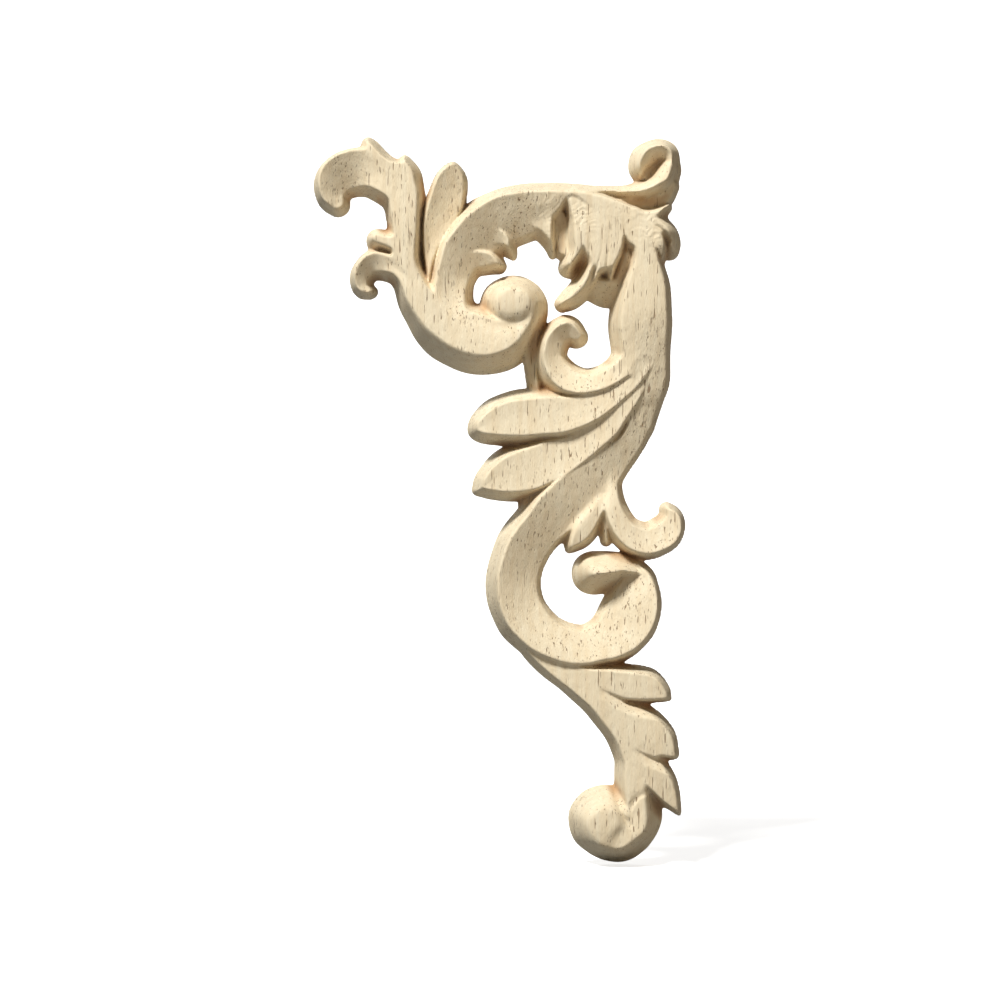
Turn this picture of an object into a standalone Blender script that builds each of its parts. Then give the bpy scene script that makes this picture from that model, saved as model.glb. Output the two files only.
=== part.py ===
"""A corner onlay of carved wood: acanthus scrolls, hooks and leaves in relief, cut from one board.

The board's back is flat, in the plane y = 0, and the carving rises from it towards -Y. The origin is on
the back, behind the stem. The relief has no undercuts, so its surface is one height over each point of
the back. Each leaf, scroll or hook is a lobe: a curved spine with a width and a height along it, and
walls that slope down to the back all round.
"""
import math
from collections import namedtuple

import bmesh
import bpy
import numpy as np

# Driving sizes, in millimetres
PANEL_WIDTH = 101.5
PANEL_HEIGHT = 200.0
ORIGIN_X = 75.0
ORIGIN_Z = 110.5
MARGIN = 1.5
GRID = 0.6
PATH_STEP = 0.6
JOIN = 0.5
BOARD = 14.0
CUT_THROUGH = -3.0
OUTER_REACH = 4.0

QUICKEST_SPREAD = 0.9
FACES_KEPT = 8000
MM = 0.001

SHARP_ANGLE = math.radians(40)
WOOD_COLOUR = (0.68, 0.53, 0.36, 1.0)
WOOD_ROUGHNESS = 0.72

# How far a lobe's wall runs in, for each millimetre that it rises
SHEER = 0.16
STEEP = 0.25
FIRM = 0.30
SOFT = 0.34
EASY = 0.38
WIDE = 0.48
BROAD = 0.62

# Crown is how far the middle of a lobe's face stands over the line between its edges, drafts are its left
# and right walls, and shoulders are the heights over which the walls round into the face.
Lobe = namedtuple("Lobe", "crown drafts shoulders stations")

# Flow is how far the faces and walls of a surface's lobes run into one another, and melt is the height
# over which the surface runs into the others.
Surface = namedtuple("Surface", "flow melt lobes")

# Each station of a lobe is x, z, half width, height at the left edge and height at the right edge, with
# left and right as seen when moving from one station to the next. x runs from the panel's left edge and
# z from its foot. The lobes of one surface share its face, and the highest surface is the one that shows.
SURFACES = {
    # arch and upper scroll, with the branch at the top left, its hooks and its points
    "upper": Surface(1.1, 0.5, {
        "arch": Lobe(0.3, (STEEP, FIRM), (1.2, 1.6), [
            (84, 177.6, 5.0, 11.4, 11.6), (77, 180.8, 5.2, 11.4, 11.6), (70, 183.2, 3.9, 11.2, 11.9),
            (63, 180.6, 6.5, 8.6, 12.1), (57, 178.7, 8.2, 5.2, 12.4), (48.6, 175.6, 8.6, 4.6, 12.8),
            (41.6, 169.6, 8.0, 4.6, 13.0), (37.6, 162, 6.9, 5.4, 13.0), (36.9, 155.5, 6.7, 7.6, 12.4),
            (39.2, 149.5, 5.6, 9.6, 11.6), (43, 146, 4.0, 10.4, 11.2)]),
        "upper_scroll": Lobe(0.5, (STEEP, SOFT), (2.0, 5.0), [
            (25.8, 166, 3.0, 11.0, 11.0), (27.6, 158.4, 4.6, 11.2, 11.4), (31.3, 151.9, 7.0, 11.4, 12.0),
            (36.8, 147.0, 9.0, 11.0, 12.6), (44, 143.8, 9.3, 10.8, 13.2), (50.5, 142.6, 7.5, 11.2, 13.3),
            (56.4, 145.4, 5.4, 11.4, 12.8), (59.6, 149.8, 3.8, 11.4, 11.8),
            (60.6, 153.6, 2.8, 11.0, 11.0)]),
        "upper_eye": Lobe(2.2, (FIRM, FIRM), (4.0, 4.0), [
            (54.2, 152.9, 8.8, 11.4, 11.4), (54.9, 152.8, 8.8, 11.4, 11.4)]),
        "eye_seam": Lobe(0, (FIRM, FIRM), (1.0, 1.0), [
            (44.5, 148.6, 4.6, 11.0, 11.0), (49, 147.4, 5.0, 11.4, 11.6), (54, 147.2, 5.0, 11.6, 12.0),
            (58, 149.6, 4.4, 11.6, 11.8), (59.6, 153, 3.4, 11.6, 11.6)]),
        "branch": Lobe(0.2, (SHEER, SHEER), (0.8, 1.2), [
            (22.4, 187.6, 5.6, 11.0, 11.0), (24.4, 183, 5.9, 11.2, 11.2), (24.9, 176, 5.2, 11.4, 11.4),
            (24.8, 169, 5.0, 11.6, 11.5), (25.7, 162, 4.9, 11.8, 11.6), (28.2, 156, 5.6, 12.0, 11.8),
            (32.2, 150.8, 6.4, 11.8, 12.0), (37.0, 147.4, 5.2, 11.4, 12.0)]),
        "top_hook": Lobe(0, (STEEP, SHEER), (0.8, 1.2), [
            (25, 182.5, 4.4, 11.0, 11.0), (21, 186.4, 6.3, 10.9, 11.2), (16, 189.5, 6.6, 8.8, 11.4),
            (11, 190.1, 6.8, 6.4, 11.7), (6.6, 188.2, 6.3, 5.4, 11.8), (4.9, 184, 4.9, 5.2, 11.0),
            (6.3, 181, 3.3, 5.8, 8.6)]),
        "top_point": Lobe(0.1, (SHEER, STEEP), (0.6, 0.6), [
            (20.5, 186, 4.4, 10.8, 11.0), (18, 191, 4.2, 10.7, 11.2), (15.5, 195.8, 2.9, 10.2, 11.0),
            (14.4, 197.9, 1.8, 9.6, 10.4)]),
        "side_point": Lobe(0.1, (SHEER, STEEP), (0.6, 0.6), [
            (25, 184, 4.2, 10.8, 11.0), (25.5, 188.6, 3.8, 10.7, 10.9), (25.0, 192, 2.2, 10.4, 10.8),
            (24.6, 193.7, 1.1, 10.0, 10.4)]),
        "low_hook": Lobe(0, (STEEP, SHEER), (0.7, 1.0), [
            (26.5, 159.5, 4.0, 11.2, 11.4), (22.0, 163.2, 4.2, 9.6, 11.4), (16.4, 164.5, 4.2, 6.2, 11.4),
            (13.2, 161.7, 3.6, 5.6, 11.2), (13.1, 158.4, 3.1, 5.8, 10.0), (15, 157, 2.2, 6.2, 8.4)]),
        "knob": Lobe(0.4, (SHEER, STEEP), (0.8, 2.0), [(24, 169.4, 3.8, 11.2, 11.2),
            (17.5, 171.1, 3.5, 10.6, 10.8)]),
    }),
    "back_leaf": Surface(1.0, 0.5, {
        "back_leaf": Lobe(-0.9, (SHEER, SHEER), (0.5, 0.5), [
            (31.2, 157.5, 1.2, 10.4, 9.6), (31.6, 166, 2.3, 8.4, 7.4), (33, 174, 4.2, 8.8, 6.0),
            (35.8, 181, 5.6, 9.6, 5.8), (37.1, 186.6, 4.9, 10.0, 6.6), (37.7, 190.3, 2.6, 9.8, 7.8),
            (37.9, 192.2, 0.8, 9.4, 9.2)]),
    }),
    # leaflets on the hollow side of the arch
    "arch_leaflet_1": Surface(1.0, 1.2, {
        "arch_leaflet_1": Lobe(-0.2, (STEEP, EASY), (0.5, 0.5), [
            (38, 162.0, 3.4, 7.0, 5.2), (42.6, 165.0, 4.2, 8.2, 4.8), (47.5, 165.6, 3.8, 9.2, 5.2),
            (50.3, 164.2, 2.2, 9.2, 6.4)]),
    }),
    "arch_leaflet_2": Surface(1.0, 1.2, {
        "arch_leaflet_2": Lobe(-0.2, (STEEP, EASY), (0.5, 0.5), [
            (41, 170.6, 4.0, 7.0, 5.2), (47, 172.4, 4.5, 8.6, 4.8), (51.6, 171, 3.6, 9.8, 5.4),
            (53.8, 168, 1.9, 9.6, 6.8), (54.4, 166.7, 1.0, 9.2, 7.6)]),
    }),
    "arch_leaflet_3": Surface(1.0, 1.4, {
        "arch_leaflet_3": Lobe(-0.4, (SHEER, EASY), (0.5, 0.5), [
            (56, 178.4, 4.4, 7.6, 5.6), (60.6, 178.0, 5.6, 10.2, 5.8), (63.2, 174.4, 3.8, 11.6, 6.4),
            (64.6, 170.2, 2.3, 11.4, 7.4), (65.3, 167.4, 1.4, 10.4, 8.2)]),
    }),
    # crown with its fingers and side lobes, the curl, the stem down into the lower scroll, and its hooks
    "stem": Surface(0.9, 0.5, {
        "crown": Lobe(0.1, (SHEER, SHEER), (1.0, 1.0), [
            (71.4, 181.8, 4.4, 11.2, 11.2), (77, 176.8, 7.6, 11.8, 11.8), (78.4, 170.5, 7.6, 11.9, 11.9),
            (79, 167, 5.8, 11.9, 11.9), (79, 165.6, 4.8, 11.8, 11.8)]),
        "shoulder": Lobe(0.1, (SHEER, SHEER), (1.0, 1.0), [
            (78, 180.4, 4.0, 11.8, 11.8), (85, 176.2, 5.4, 11.9, 11.9), (87.6, 171.5, 4.6, 11.9, 11.9)]),
        "cheek": Lobe(0.1, (SHEER, SHEER), (0.6, 1.0), [
            (84, 176.0, 4.4, 11.9, 11.9), (90, 174.6, 4.2, 11.9, 11.9), (94, 172.2, 3.4, 11.8, 11.8)]),
        "finger_1": Lobe(0.1, (EASY, SHEER), (0.6, 0.6), [
            (73.4, 179, 4.4, 11.4, 11.4), (72.6, 172.5, 4.1, 11.9, 11.9), (72.0, 167.6, 3.7, 11.8, 11.6),
            (69.9, 163.9, 3.0, 10.8, 10.6)]),
        "finger_2": Lobe(0.1, (STEEP, STEEP), (0.6, 0.6), [
            (77.4, 178, 3.6, 11.8, 11.8), (77.2, 172, 3.6, 11.9, 11.9), (76.3, 165, 3.0, 11.9, 11.9),
            (74.4, 159.8, 3.3, 11.4, 11.6), (70.8, 155.6, 3.2, 10.6, 11.0), (67.9, 153.7, 2.2, 9.6, 10.2)]),
        "finger_3": Lobe(0.1, (SHEER, SHEER), (0.6, 0.6), [
            (79.4, 178, 3.0, 11.8, 11.8), (79.3, 172, 3.0, 11.9, 11.9), (78.4, 166, 2.6, 11.9, 11.9),
            (77.4, 161.6, 2.2, 11.7, 11.7), (75.8, 158.4, 1.5, 11.2, 11.2), (74.8, 157.1, 0.8, 10.8, 10.8)]),
        "finger_4": Lobe(0.1, (STEEP, SHEER), (0.6, 0.6), [
            (83.0, 178, 3.4, 11.8, 11.8), (82.0, 172, 3.2, 11.9, 11.9), (82.0, 166.5, 2.5, 11.9, 11.9),
            (81.3, 161.4, 2.1, 11.7, 11.7), (80.6, 157.6, 0.9, 10.6, 10.6)]),
        "stem": Lobe(0.8, (SHEER, STEEP), (1.4, 1.0), [
            (87, 176.5, 4.6, 11.6, 11.6), (89.4, 171, 4.6, 11.6, 11.6), (90.5, 164.5, 5.6, 11.6, 11.5),
            (90.0, 157, 7.8, 11.7, 11.6), (89.6, 150, 8.7, 11.4, 11.8), (89.6, 142, 8.3, 9.8, 11.6),
            (90.8, 133, 6.7, 8.0, 11.0), (89.9, 125.6, 5.1, 6.8, 10.4), (89.0, 121.4, 4.6, 6.6, 10.0)]),
        "lower_scroll": Lobe(0.2, (SHEER, FIRM), (1.2, 2.2), [
            (89.9, 125.6, 4.9, 6.8, 10.4), (86.6, 117.0, 4.8, 6.4, 9.8), (80.8, 110.6, 6.4, 6.0, 9.8),
            (74.4, 105.2, 7.6, 6.0, 10.4), (66.8, 98.4, 8.2, 6.0, 11.8), (60.7, 91.8, 7.6, 5.8, 12.5),
            (56.4, 85, 7.6, 5.6, 12.8), (54.5, 77.6, 7.6, 5.8, 12.9), (55.6, 70.3, 7.5, 6.2, 12.7),
            (59.8, 64.3, 7.3, 6.8, 12.4), (66, 60.4, 6.8, 7.2, 12.2), (73.5, 58.9, 6.7, 7.0, 12.0),
            (79.6, 60.6, 7.0, 6.6, 12.0)]),
        "scroll_end": Lobe(0.2, (STEEP, SHEER), (1.2, 1.4), [
            (81.8, 62.0, 7.2, 6.4, 12.0), (85.0, 65.6, 8.4, 6.2, 11.8), (87.4, 71.3, 8.1, 5.8, 11.2),
            (88.3, 77, 5.4, 5.6, 9.0), (88, 81, 2.8, 5.6, 7.0)]),
        "middle_hook": Lobe(-0.2, (STEEP, STEEP), (0.7, 0.7), [
            (92.4, 147.0, 4.0, 12.0, 12.0), (88.6, 139.6, 5.4, 12.3, 12.0), (82, 133.7, 4.9, 12.8, 9.8),
            (75, 131.2, 5.0, 12.8, 8.4), (68.4, 132.7, 5.6, 12.8, 7.2), (64.8, 138.3, 4.8, 12.8, 6.6),
            (65.9, 144, 4.6, 12.6, 6.2), (69.4, 146.5, 4.2, 12.2, 6.2), (71.9, 144.6, 3.2, 10.8, 6.6)]),
        "low_right_hook": Lobe(-0.2, (STEEP, SHEER), (0.5, 0.5), [
            (81.6, 110, 2.4, 7.4, 7.4), (81.0, 104, 3.2, 7.8, 8.2), (82.0, 97.4, 4.0, 8.6, 9.8),
            (85.4, 91.1, 4.8, 8.6, 10.8), (91, 88.6, 5.3, 8.0, 11.1), (96.3, 90.8, 5.1, 8.0, 10.8),
            (97.9, 94.6, 3.6, 8.0, 10.2), (96.6, 97.5, 1.9, 8.0, 9.2)]),
        "small_leaf": Lobe(-0.2, (FIRM, SHEER), (0.5, 0.5), [
            (79.4, 102, 2.4, 6.8, 7.2), (77.2, 97.0, 3.7, 8.0, 8.8), (73.6, 91.2, 4.0, 8.2, 9.2),
            (71.0, 88, 2.6, 8.0, 9.0), (69.8, 86.3, 1.3, 7.8, 8.6)]),
        "side_lobe_1": Lobe(0.2, (SHEER, WIDE), (0.8, 0.6), [
            (87, 175.2, 3.8, 11.8, 11.8), (92, 175.6, 4.0, 11.8, 12.0), (95.6, 173.2, 4.1, 11.7, 11.8),
            (97.3, 170.6, 3.3, 11.4, 11.2), (97.5, 168.9, 3.0, 10.8, 10.6)]),
        "spur": Lobe(0, (SHEER, SHEER), (0.5, 0.5), [
            (80, 179.0, 3.0, 11.7, 11.7), (86, 176.8, 2.8, 11.8, 11.8), (92.3, 177.2, 2.6, 11.6, 11.6),
            (96.9, 180.2, 1.5, 10.6, 10.6)]),
        "curl_band": Lobe(0.2, (SHEER, WIDE), (0.8, 0.6), [
            (72, 182.6, 3.8, 11.4, 11.4), (79, 184.0, 2.4, 11.8, 11.6), (85, 183.6, 2.9, 11.8, 11.8),
            (90.5, 184.2, 3.6, 11.6, 11.9), (95.2, 186.8, 4.0, 10.4, 11.9), (97.2, 190.4, 3.4, 8.6, 11.6)]),
        "curl_ring": Lobe(0.3, (STEEP, FIRM), (0.6, 1.8), [
            (95.6, 187.6, 3.4, 8.4, 11.8), (97.6, 191.4, 2.7, 5.4, 12.4), (96.8, 194.6, 3.4, 4.6, 13.0),
            (94.4, 195.4, 3.9, 4.2, 13.4), (91.2, 194.0, 4.2, 4.2, 13.2), (89.4, 191.4, 3.1, 4.6, 12.0),
            (89.3, 189.4, 2.2, 5.0, 9.8)]),
    }),
    "side_lobe_2": Surface(1.0, 0.5, {
        "side_lobe_2": Lobe(0.2, (SHEER, SHEER), (0.6, 0.6), [
            (87, 175.4, 4.0, 11.6, 11.6), (91.2, 172.0, 4.5, 12.1, 12.0), (94.0, 168.9, 3.2, 12.1, 11.8),
            (94.9, 165.6, 1.6, 10.4, 10.4)]),
    }),
    "lower_eye": Surface(1.0, 0.4, {
        "lower_eye": Lobe(1.4, (BROAD, STEEP), (2.6, 2.6), [
            (93.0, 74.5, 1.2, 9.8, 9.6), (91.6, 77.8, 2.4, 11.0, 10.4), (88.6, 79.9, 3.5, 12.0, 10.6),
            (84.6, 80.7, 4.6, 12.2, 11.0), (80.5, 80.1, 5.7, 12.2, 11.4), (76.6, 79.7, 6.1, 11.8, 11.6)]),
    }),
    # two large leaves on the left of the stem
    "upper_leaf": Surface(1.0, 0.6, {
        "upper_leaf": Lobe(-0.6, (STEEP, FIRM), (0.5, 0.8), [
            (93.6, 140.6, 2.6, 9.6, 9.6), (88.8, 134.6, 5.0, 11.8, 11.4), (80.4, 127.8, 6.0, 12.2, 10.2),
            (71.6, 123.6, 7.2, 11.9, 9.8), (62, 122.8, 8.0, 11.5, 10.2), (53, 121.9, 7.4, 11.1, 10.5),
            (46.8, 120.2, 4.8, 10.8, 10.6), (43.3, 118.3, 1.1, 9.8, 10.0)]),
    }),
    "lower_leaf": Surface(1.0, 0.6, {
        "lower_leaf": Lobe(-0.6, (STEEP, FIRM), (0.5, 0.8), [
            (91.8, 135, 2.6, 9.4, 9.4), (87.8, 128.8, 4.2, 11.3, 11.0), (81.2, 121.0, 5.6, 11.3, 10.0),
            (73.3, 114.8, 6.4, 10.9, 8.8), (64.6, 110.4, 7.9, 10.6, 9.0), (56, 107.6, 8.1, 10.5, 9.8),
            (49.5, 105.3, 5.4, 10.4, 10.2), (44.8, 102.4, 1.7, 9.6, 9.6)]),
    }),
    # tail below the lower scroll, with its three leaves
    "tail": Surface(1.0, 0.5, {
        "tail": Lobe(0.1, (SHEER, STEEP), (0.6, 1.6), [
            (51.6, 66.8, 1.9, 8.0, 8.0), (56.0, 62.1, 2.5, 8.5, 8.5), (62.6, 56.6, 3.9, 9.0, 9.0),
            (71.2, 51.0, 5.2, 9.6, 9.6), (78.7, 44.8, 5.6, 10.2, 10.2), (84.8, 37.2, 6.0, 10.4, 10.2),
            (87.6, 30, 5.6, 10.5, 10.3), (87.4, 24, 5.0, 10.6, 10.5), (86.1, 19.0, 3.3, 10.8, 10.8),
            (84.8, 15.2, 1.0, 10.8, 10.8)]),
        "tail_leaf_1": Lobe(0, (SHEER, SHEER), (0.5, 0.5), [
            (70, 52.2, 3.8, 9.6, 9.6), (78, 50.2, 5.0, 10.1, 10.1), (89.0, 49.2, 5.3, 10.6, 10.6),
            (94.4, 47.3, 3.2, 10.4, 10.6), (97.4, 45.3, 0.8, 9.8, 9.9)]),
        "tail_leaf_2": Lobe(0, (SHEER, SHEER), (0.5, 0.5), [
            (83, 42.0, 4.0, 10.2, 10.2), (88, 39.2, 5.6, 10.4, 10.4), (93.3, 34.8, 5.6, 10.6, 10.7),
            (97.5, 31.1, 2.8, 10.2, 10.4), (99.2, 29.6, 0.9, 9.6, 9.8)]),
        "tail_leaf_3": Lobe(0, (SHEER, SHEER), (0.5, 0.5), [
            (88.6, 31.4, 4.8, 10.4, 10.4), (92.0, 25.2, 5.6, 10.6, 10.2), (96.4, 19.9, 3.9, 10.4, 9.6),
            (99.1, 15, 1.6, 9.8, 9.4), (100, 13.4, 0.6, 9.4, 9.4)]),
        "foot_bowl": Lobe(0.1, (WIDE, SHEER), (5.0, 3.0), [
            (88.2, 25.0, 4.8, 10.5, 10.5), (88.9, 18.0, 6.0, 11.4, 9.9), (88.0, 11.8, 7.2, 12.0, 9.6),
            (83.4, 8.4, 8.4, 11.6, 10.8)]),
        "foot_ball": Lobe(1.4, (SOFT, SOFT), (4.5, 4.5), [
            (79.5, 11.6, 9.8, 11.2, 11.2), (80.1, 11.2, 9.8, 11.2, 11.2)]),
    }),
    # lower floors between the surfaces
    "floors": Surface(1.0, 0.4, {
        "finger_channel": Lobe(0, (STEEP, STEEP), (1.0, 1.0), [
            (66.4, 180.6, 1.6, 8.4, 8.4), (67.6, 177, 3.0, 6.6, 6.6), (68.3, 173, 3.6, 5.6, 5.6),
            (68.6, 168.8, 3.3, 5.2, 5.2)]),
        "finger_web": Lobe(0, (EASY, WIDE), (1.0, 1.0), [
            (76.2, 158.6, 4.2, 9.6, 2.4), (80.6, 157.6, 5.0, 11.0, 1.6), (84.4, 159.2, 5.2, 9.6, 3.0),
            (85.4, 165.0, 4.6, 8.4, 8.0), (85.4, 169.6, 3.8, 10.0, 10.0)]),
        "cup": Lobe(0, (STEEP, STEEP), (0.6, 0.6), [(91.8, 190.8, 4.2, 4.4, 4.4),
            (94.8, 193, 4.4, 4.4, 4.4)]),
        "curl_web": Lobe(0, (STEEP, STEEP), (0.6, 0.6), [
            (83, 181.0, 2.6, 7.0, 7.0), (90, 181.2, 3.8, 4.8, 4.8), (94.6, 183.0, 4.0, 4.6, 4.6),
            (97.2, 186.0, 3.0, 5.2, 5.2)]),
        "hook_web": Lobe(0, (WIDE, SHEER), (1.0, 1.0), [
            (60.4, 148, 3.4, 7.0, 3.0), (59.7, 140, 2.9, 5.4, 2.6), (60.1, 134, 2.4, 5.0, 2.6),
            (61, 128, 2.4, 5.0, 2.6)]),
        "leaf_web": Lobe(0, (FIRM, FIRM), (2.0, 2.0), [(66, 102, 5.5, 6.6, 6.6),
            (59.5, 98.6, 4.0, 5.0, 5.0)]),
        "small_leaf_web": Lobe(0, (STEEP, FIRM), (0.8, 0.8), [
            (80.4, 99, 2.6, 6.8, 6.8), (79.6, 93, 2.2, 6.0, 6.0), (80.0, 88.6, 1.7, 4.6, 4.6)]),
    }),
}

# Each station of a cut is x, z, how far it reaches to the left and to the right, and its depth where the
# board is whole. Its left side is straight and its right side hollow, and it fades out at a depth of 0.
CUTS = {
    "eye_ring": [(45.5, 151.5, 2.0, 2.0, 0.0), (48, 149.6, 2.4, 2.4, 0.35), (52.5, 148.2, 2.6, 2.8, 0.5),
                 (57, 148.7, 2.6, 2.6, 0.4), (60.2, 151.6, 2.0, 2.0, 0.0)],
    "finger_1_edge": [(75.6, 176, 0.4, 0.5, 0.0), (75.2, 171, 0.4, 0.6, 0.35), (75.0, 165.5, 0.6, 0.9, 1.0)],
    "finger_2_edge": [(78.6, 174, 0.4, 0.4, 0.0), (78.4, 169, 0.4, 0.4, 0.25), (77.6, 164, 0.4, 0.5, 0.4),
                      (76.4, 159, 0.4, 0.5, 0.0)],
    "finger_3_edge": [(80.6, 174, 0.4, 0.4, 0.0), (80.2, 169, 0.4, 0.5, 0.35), (79.8, 161, 0.6, 0.8, 1.0)],
    "finger_4_edge": [(82.9, 176, 0.4, 0.4, 0.0), (83.1, 172, 0.4, 0.4, 0.3), (83.4, 169, 0.4, 0.4, 0.0)],
    "stem_edge": [(84.4, 177, 0.4, 0.4, 0.0), (84.6, 172.5, 0.5, 0.6, 0.6), (85.0, 168, 0.8, 0.9, 1.4)],
    "tail_groove_1": [(96, 42.8, 3.2, 0.9, 2.4), (91.8, 43.8, 3.4, 0.8, 3.2), (86, 45.0, 3.2, 0.7, 2.2),
                      (81, 46.9, 2.6, 0.6, 1.0), (77.2, 48.9, 1.6, 0.5, 0.0)],
    "tail_groove_2": [(99.6, 27.0, 2.6, 0.9, 2.4), (96, 28.5, 3.0, 0.8, 2.8), (91.5, 30.0, 2.6, 0.7, 1.4),
                      (86.8, 32.6, 1.8, 0.5, 0.0)],
    "foot_notch": [(82.0, 21.0, 0.4, 1.2, 0.0), (82.9, 17.6, 0.5, 2.0, 1.2), (84.6, 13.8, 0.7, 2.2, 1.6),
                   (86.6, 10.6, 1.0, 2.0, 0.0)],
    "bowl_edge": [(86.0, 13.6, 0.8, 0.5, 0.0), (87.0, 17.0, 1.4, 0.5, 0.7), (89.5, 19.6, 1.8, 0.5, 0.6),
                  (93.0, 19.0, 2.0, 0.5, 0.0)],
}


def smooth_path(stations):
    """A Catmull-Rom curve through the stations, with a point about every PATH_STEP millimetres."""
    rows = np.array(stations, dtype=float)
    rows = np.vstack([2 * rows[0] - rows[1], rows, 2 * rows[-1] - rows[-2]])
    points = []
    for before, start, end, after in zip(rows, rows[1:], rows[2:], rows[3:]):
        count = max(2, round(math.dist(start[:2], end[:2]) / PATH_STEP))
        t = np.linspace(0.0, 1.0, count, endpoint=False)[:, None]
        points.append(0.5 * (2 * start + (end - before) * t
                             + (2 * before - 5 * start + 4 * end - after) * t**2
                             + (3 * start - before - 3 * end + after) * t**3))
    return np.vstack(points + [rows[-2]])


def blend_low(a, b, width):
    """The lower of two heights, rounded where they are within this width of each other."""
    mix = np.clip(0.5 + 0.5 * (b - a) / width, 0.0, 1.0)
    return b * (1 - mix) + a * mix - width * mix * (1 - mix)


def blend_high(a, b, width):
    """The higher of two heights, rounded in the same way."""
    return -blend_low(-a, -b, width)


def close_to(path, reach, x, z):
    """Which points lie in the path's own rectangle, widened by reach."""
    low, high = path[:, :2].min(axis=0) - reach, path[:, :2].max(axis=0) + reach
    return np.flatnonzero((x > low[0]) & (x < high[0]) & (z > low[1]) & (z < high[1]))


def along_path(path, half_widths, x, z):
    """The path's values beside each point, the way there from the path, its side and its depth inside."""
    ahead = np.gradient(path[:, :2], axis=0)
    ahead /= np.linalg.norm(ahead, axis=1)[:, None]
    right = np.column_stack([ahead[:, 1], -ahead[:, 0]])
    start, run = path[:-1], np.diff(path, axis=0)
    length = np.hypot(run[:, 0], run[:, 1])
    spread = np.clip(np.diff(half_widths) / length, -QUICKEST_SPREAD, QUICKEST_SPREAD)
    from_start = np.stack([x[:, None] - start[:, 0], z[:, None] - start[:, 1]], axis=2)
    along = (from_start * run[:, :2]).sum(axis=2) / length
    beside = np.sqrt(np.maximum((from_start**2).sum(axis=2) - along**2, 0.0))
    t = np.clip((along + beside * spread / np.sqrt(1 - spread**2)) / length, 0.0, 1.0)
    away = from_start - t[:, :, None] * run[:, :2]
    inside = half_widths[:-1] + t * np.diff(half_widths) - np.hypot(away[:, :, 0], away[:, :, 1])
    # the segment that this point lies deepest inside
    row = np.arange(len(x))
    near = inside.argmax(axis=1)
    t, away = t[row, near][:, None], away[row, near]
    side = (away * (right[near] + t * (right[near + 1] - right[near]))).sum(axis=1)
    return start[near] + t * run[near], away, side, inside[row, near]


def between(pair, share):
    """A value on the way from the pair's left one to its right one."""
    return pair[0] * (1 - share) + pair[1] * share


def surface_heights(surface, x, z):
    """Height of one surface: its lobes run into one another, and walls stand round them all."""
    sums = np.zeros((5, len(x)))
    for lobe in surface.lobes.values():
        path = smooth_path(lobe.stations)
        near = close_to(path, path[:, 2].max() + OUTER_REACH, x, z)
        station, away, side, inside = along_path(path, path[:, 2], x[near], z[near])
        share = (1 + np.clip(side / station[:, 2], -1.0, 1.0)) / 2
        dome = lobe.crown * np.maximum(1 - (away**2).sum(axis=1) / station[:, 2] ** 2, 0.0)
        face = between((station[:, 3], station[:, 4]), share) + dome
        parts = [np.ones(len(near)), face, between(lobe.drafts, share), between(lobe.shoulders, share)]
        sums[:4, near] += np.exp(inside / surface.flow) * np.array(parts)
        sums[4, near] += np.exp(inside / JOIN)
    heights = np.full(len(x), CUT_THROUGH)
    covered = sums[0] > 0
    weight, face, draft, shoulder, joined = sums[:, covered]
    wall = JOIN * np.log(joined) / (draft / weight)
    heights[covered] = np.maximum(blend_low(face / weight, wall, shoulder / weight), CUT_THROUGH)
    return heights


def cut_shares(path, x, z):
    """The share of the height that one cut takes away at each point."""
    station, away, side, inside = along_path(path, np.zeros(len(path)), x, z)
    width = np.where(side < 0, station[:, 2], station[:, 3])
    left_over = np.clip(1 + inside / width, 0.0, 1.0)
    return station[:, 4] / BOARD * np.where(side < 0, left_over, left_over**2)


def carved_heights(x, z):
    """Height of the carving over the back at each point, in millimetres; below zero is cut away."""
    heights = np.full(len(x), CUT_THROUGH)
    for surface in SURFACES.values():
        heights = blend_high(heights, surface_heights(surface, x, z), surface.melt)
    for stations in CUTS.values():
        path = smooth_path(stations)
        near = close_to(path, path[:, 2:4].max(), x, z)
        shares = cut_shares(path, x[near], z[near])
        heights[near] *= np.where(heights[near] > 0, 1 - shares, 1)
    return heights


def softened(heights):
    """Each height moved half way to the mean of its four neighbours on the grid."""
    wide = np.pad(heights, 1, mode="edge")
    return (heights + (wide[:-2, 1:-1] + wide[2:, 1:-1] + wide[1:-1, :-2] + wide[1:-1, 2:]) / 4) / 2


def board_front():
    """The carved front: a fine grid over the panel, lifted by the carving and cut off at the back plane."""
    width, height = PANEL_WIDTH + 2 * MARGIN, PANEL_HEIGHT + 2 * MARGIN
    columns, rows = round(width / GRID), round(height / GRID)
    x, z = np.meshgrid(np.linspace(-MARGIN, width - MARGIN, columns + 1),
                       np.linspace(-MARGIN, height - MARGIN, rows + 1))
    heights = softened(carved_heights(x.ravel(), z.ravel()).reshape(x.shape))
    front = bmesh.new()
    bmesh.ops.create_grid(front, x_segments=columns, y_segments=rows, size=0.5)
    for vert in front.verts:
        column, row = round((vert.co.x + 0.5) * columns), round((vert.co.y + 0.5) * rows)
        place = (x[row, column] - ORIGIN_X, -heights[row, column], z[row, column] - ORIGIN_Z)
        vert.co = [size * MM for size in place]
    bmesh.ops.bisect_plane(front, geom=front.verts[:] + front.edges[:] + front.faces[:],
                           plane_co=(0, 0, 0), plane_no=(0, 1, 0), clear_outer=True)
    bmesh.ops.triangulate(front, faces=front.faces[:])
    return front


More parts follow.
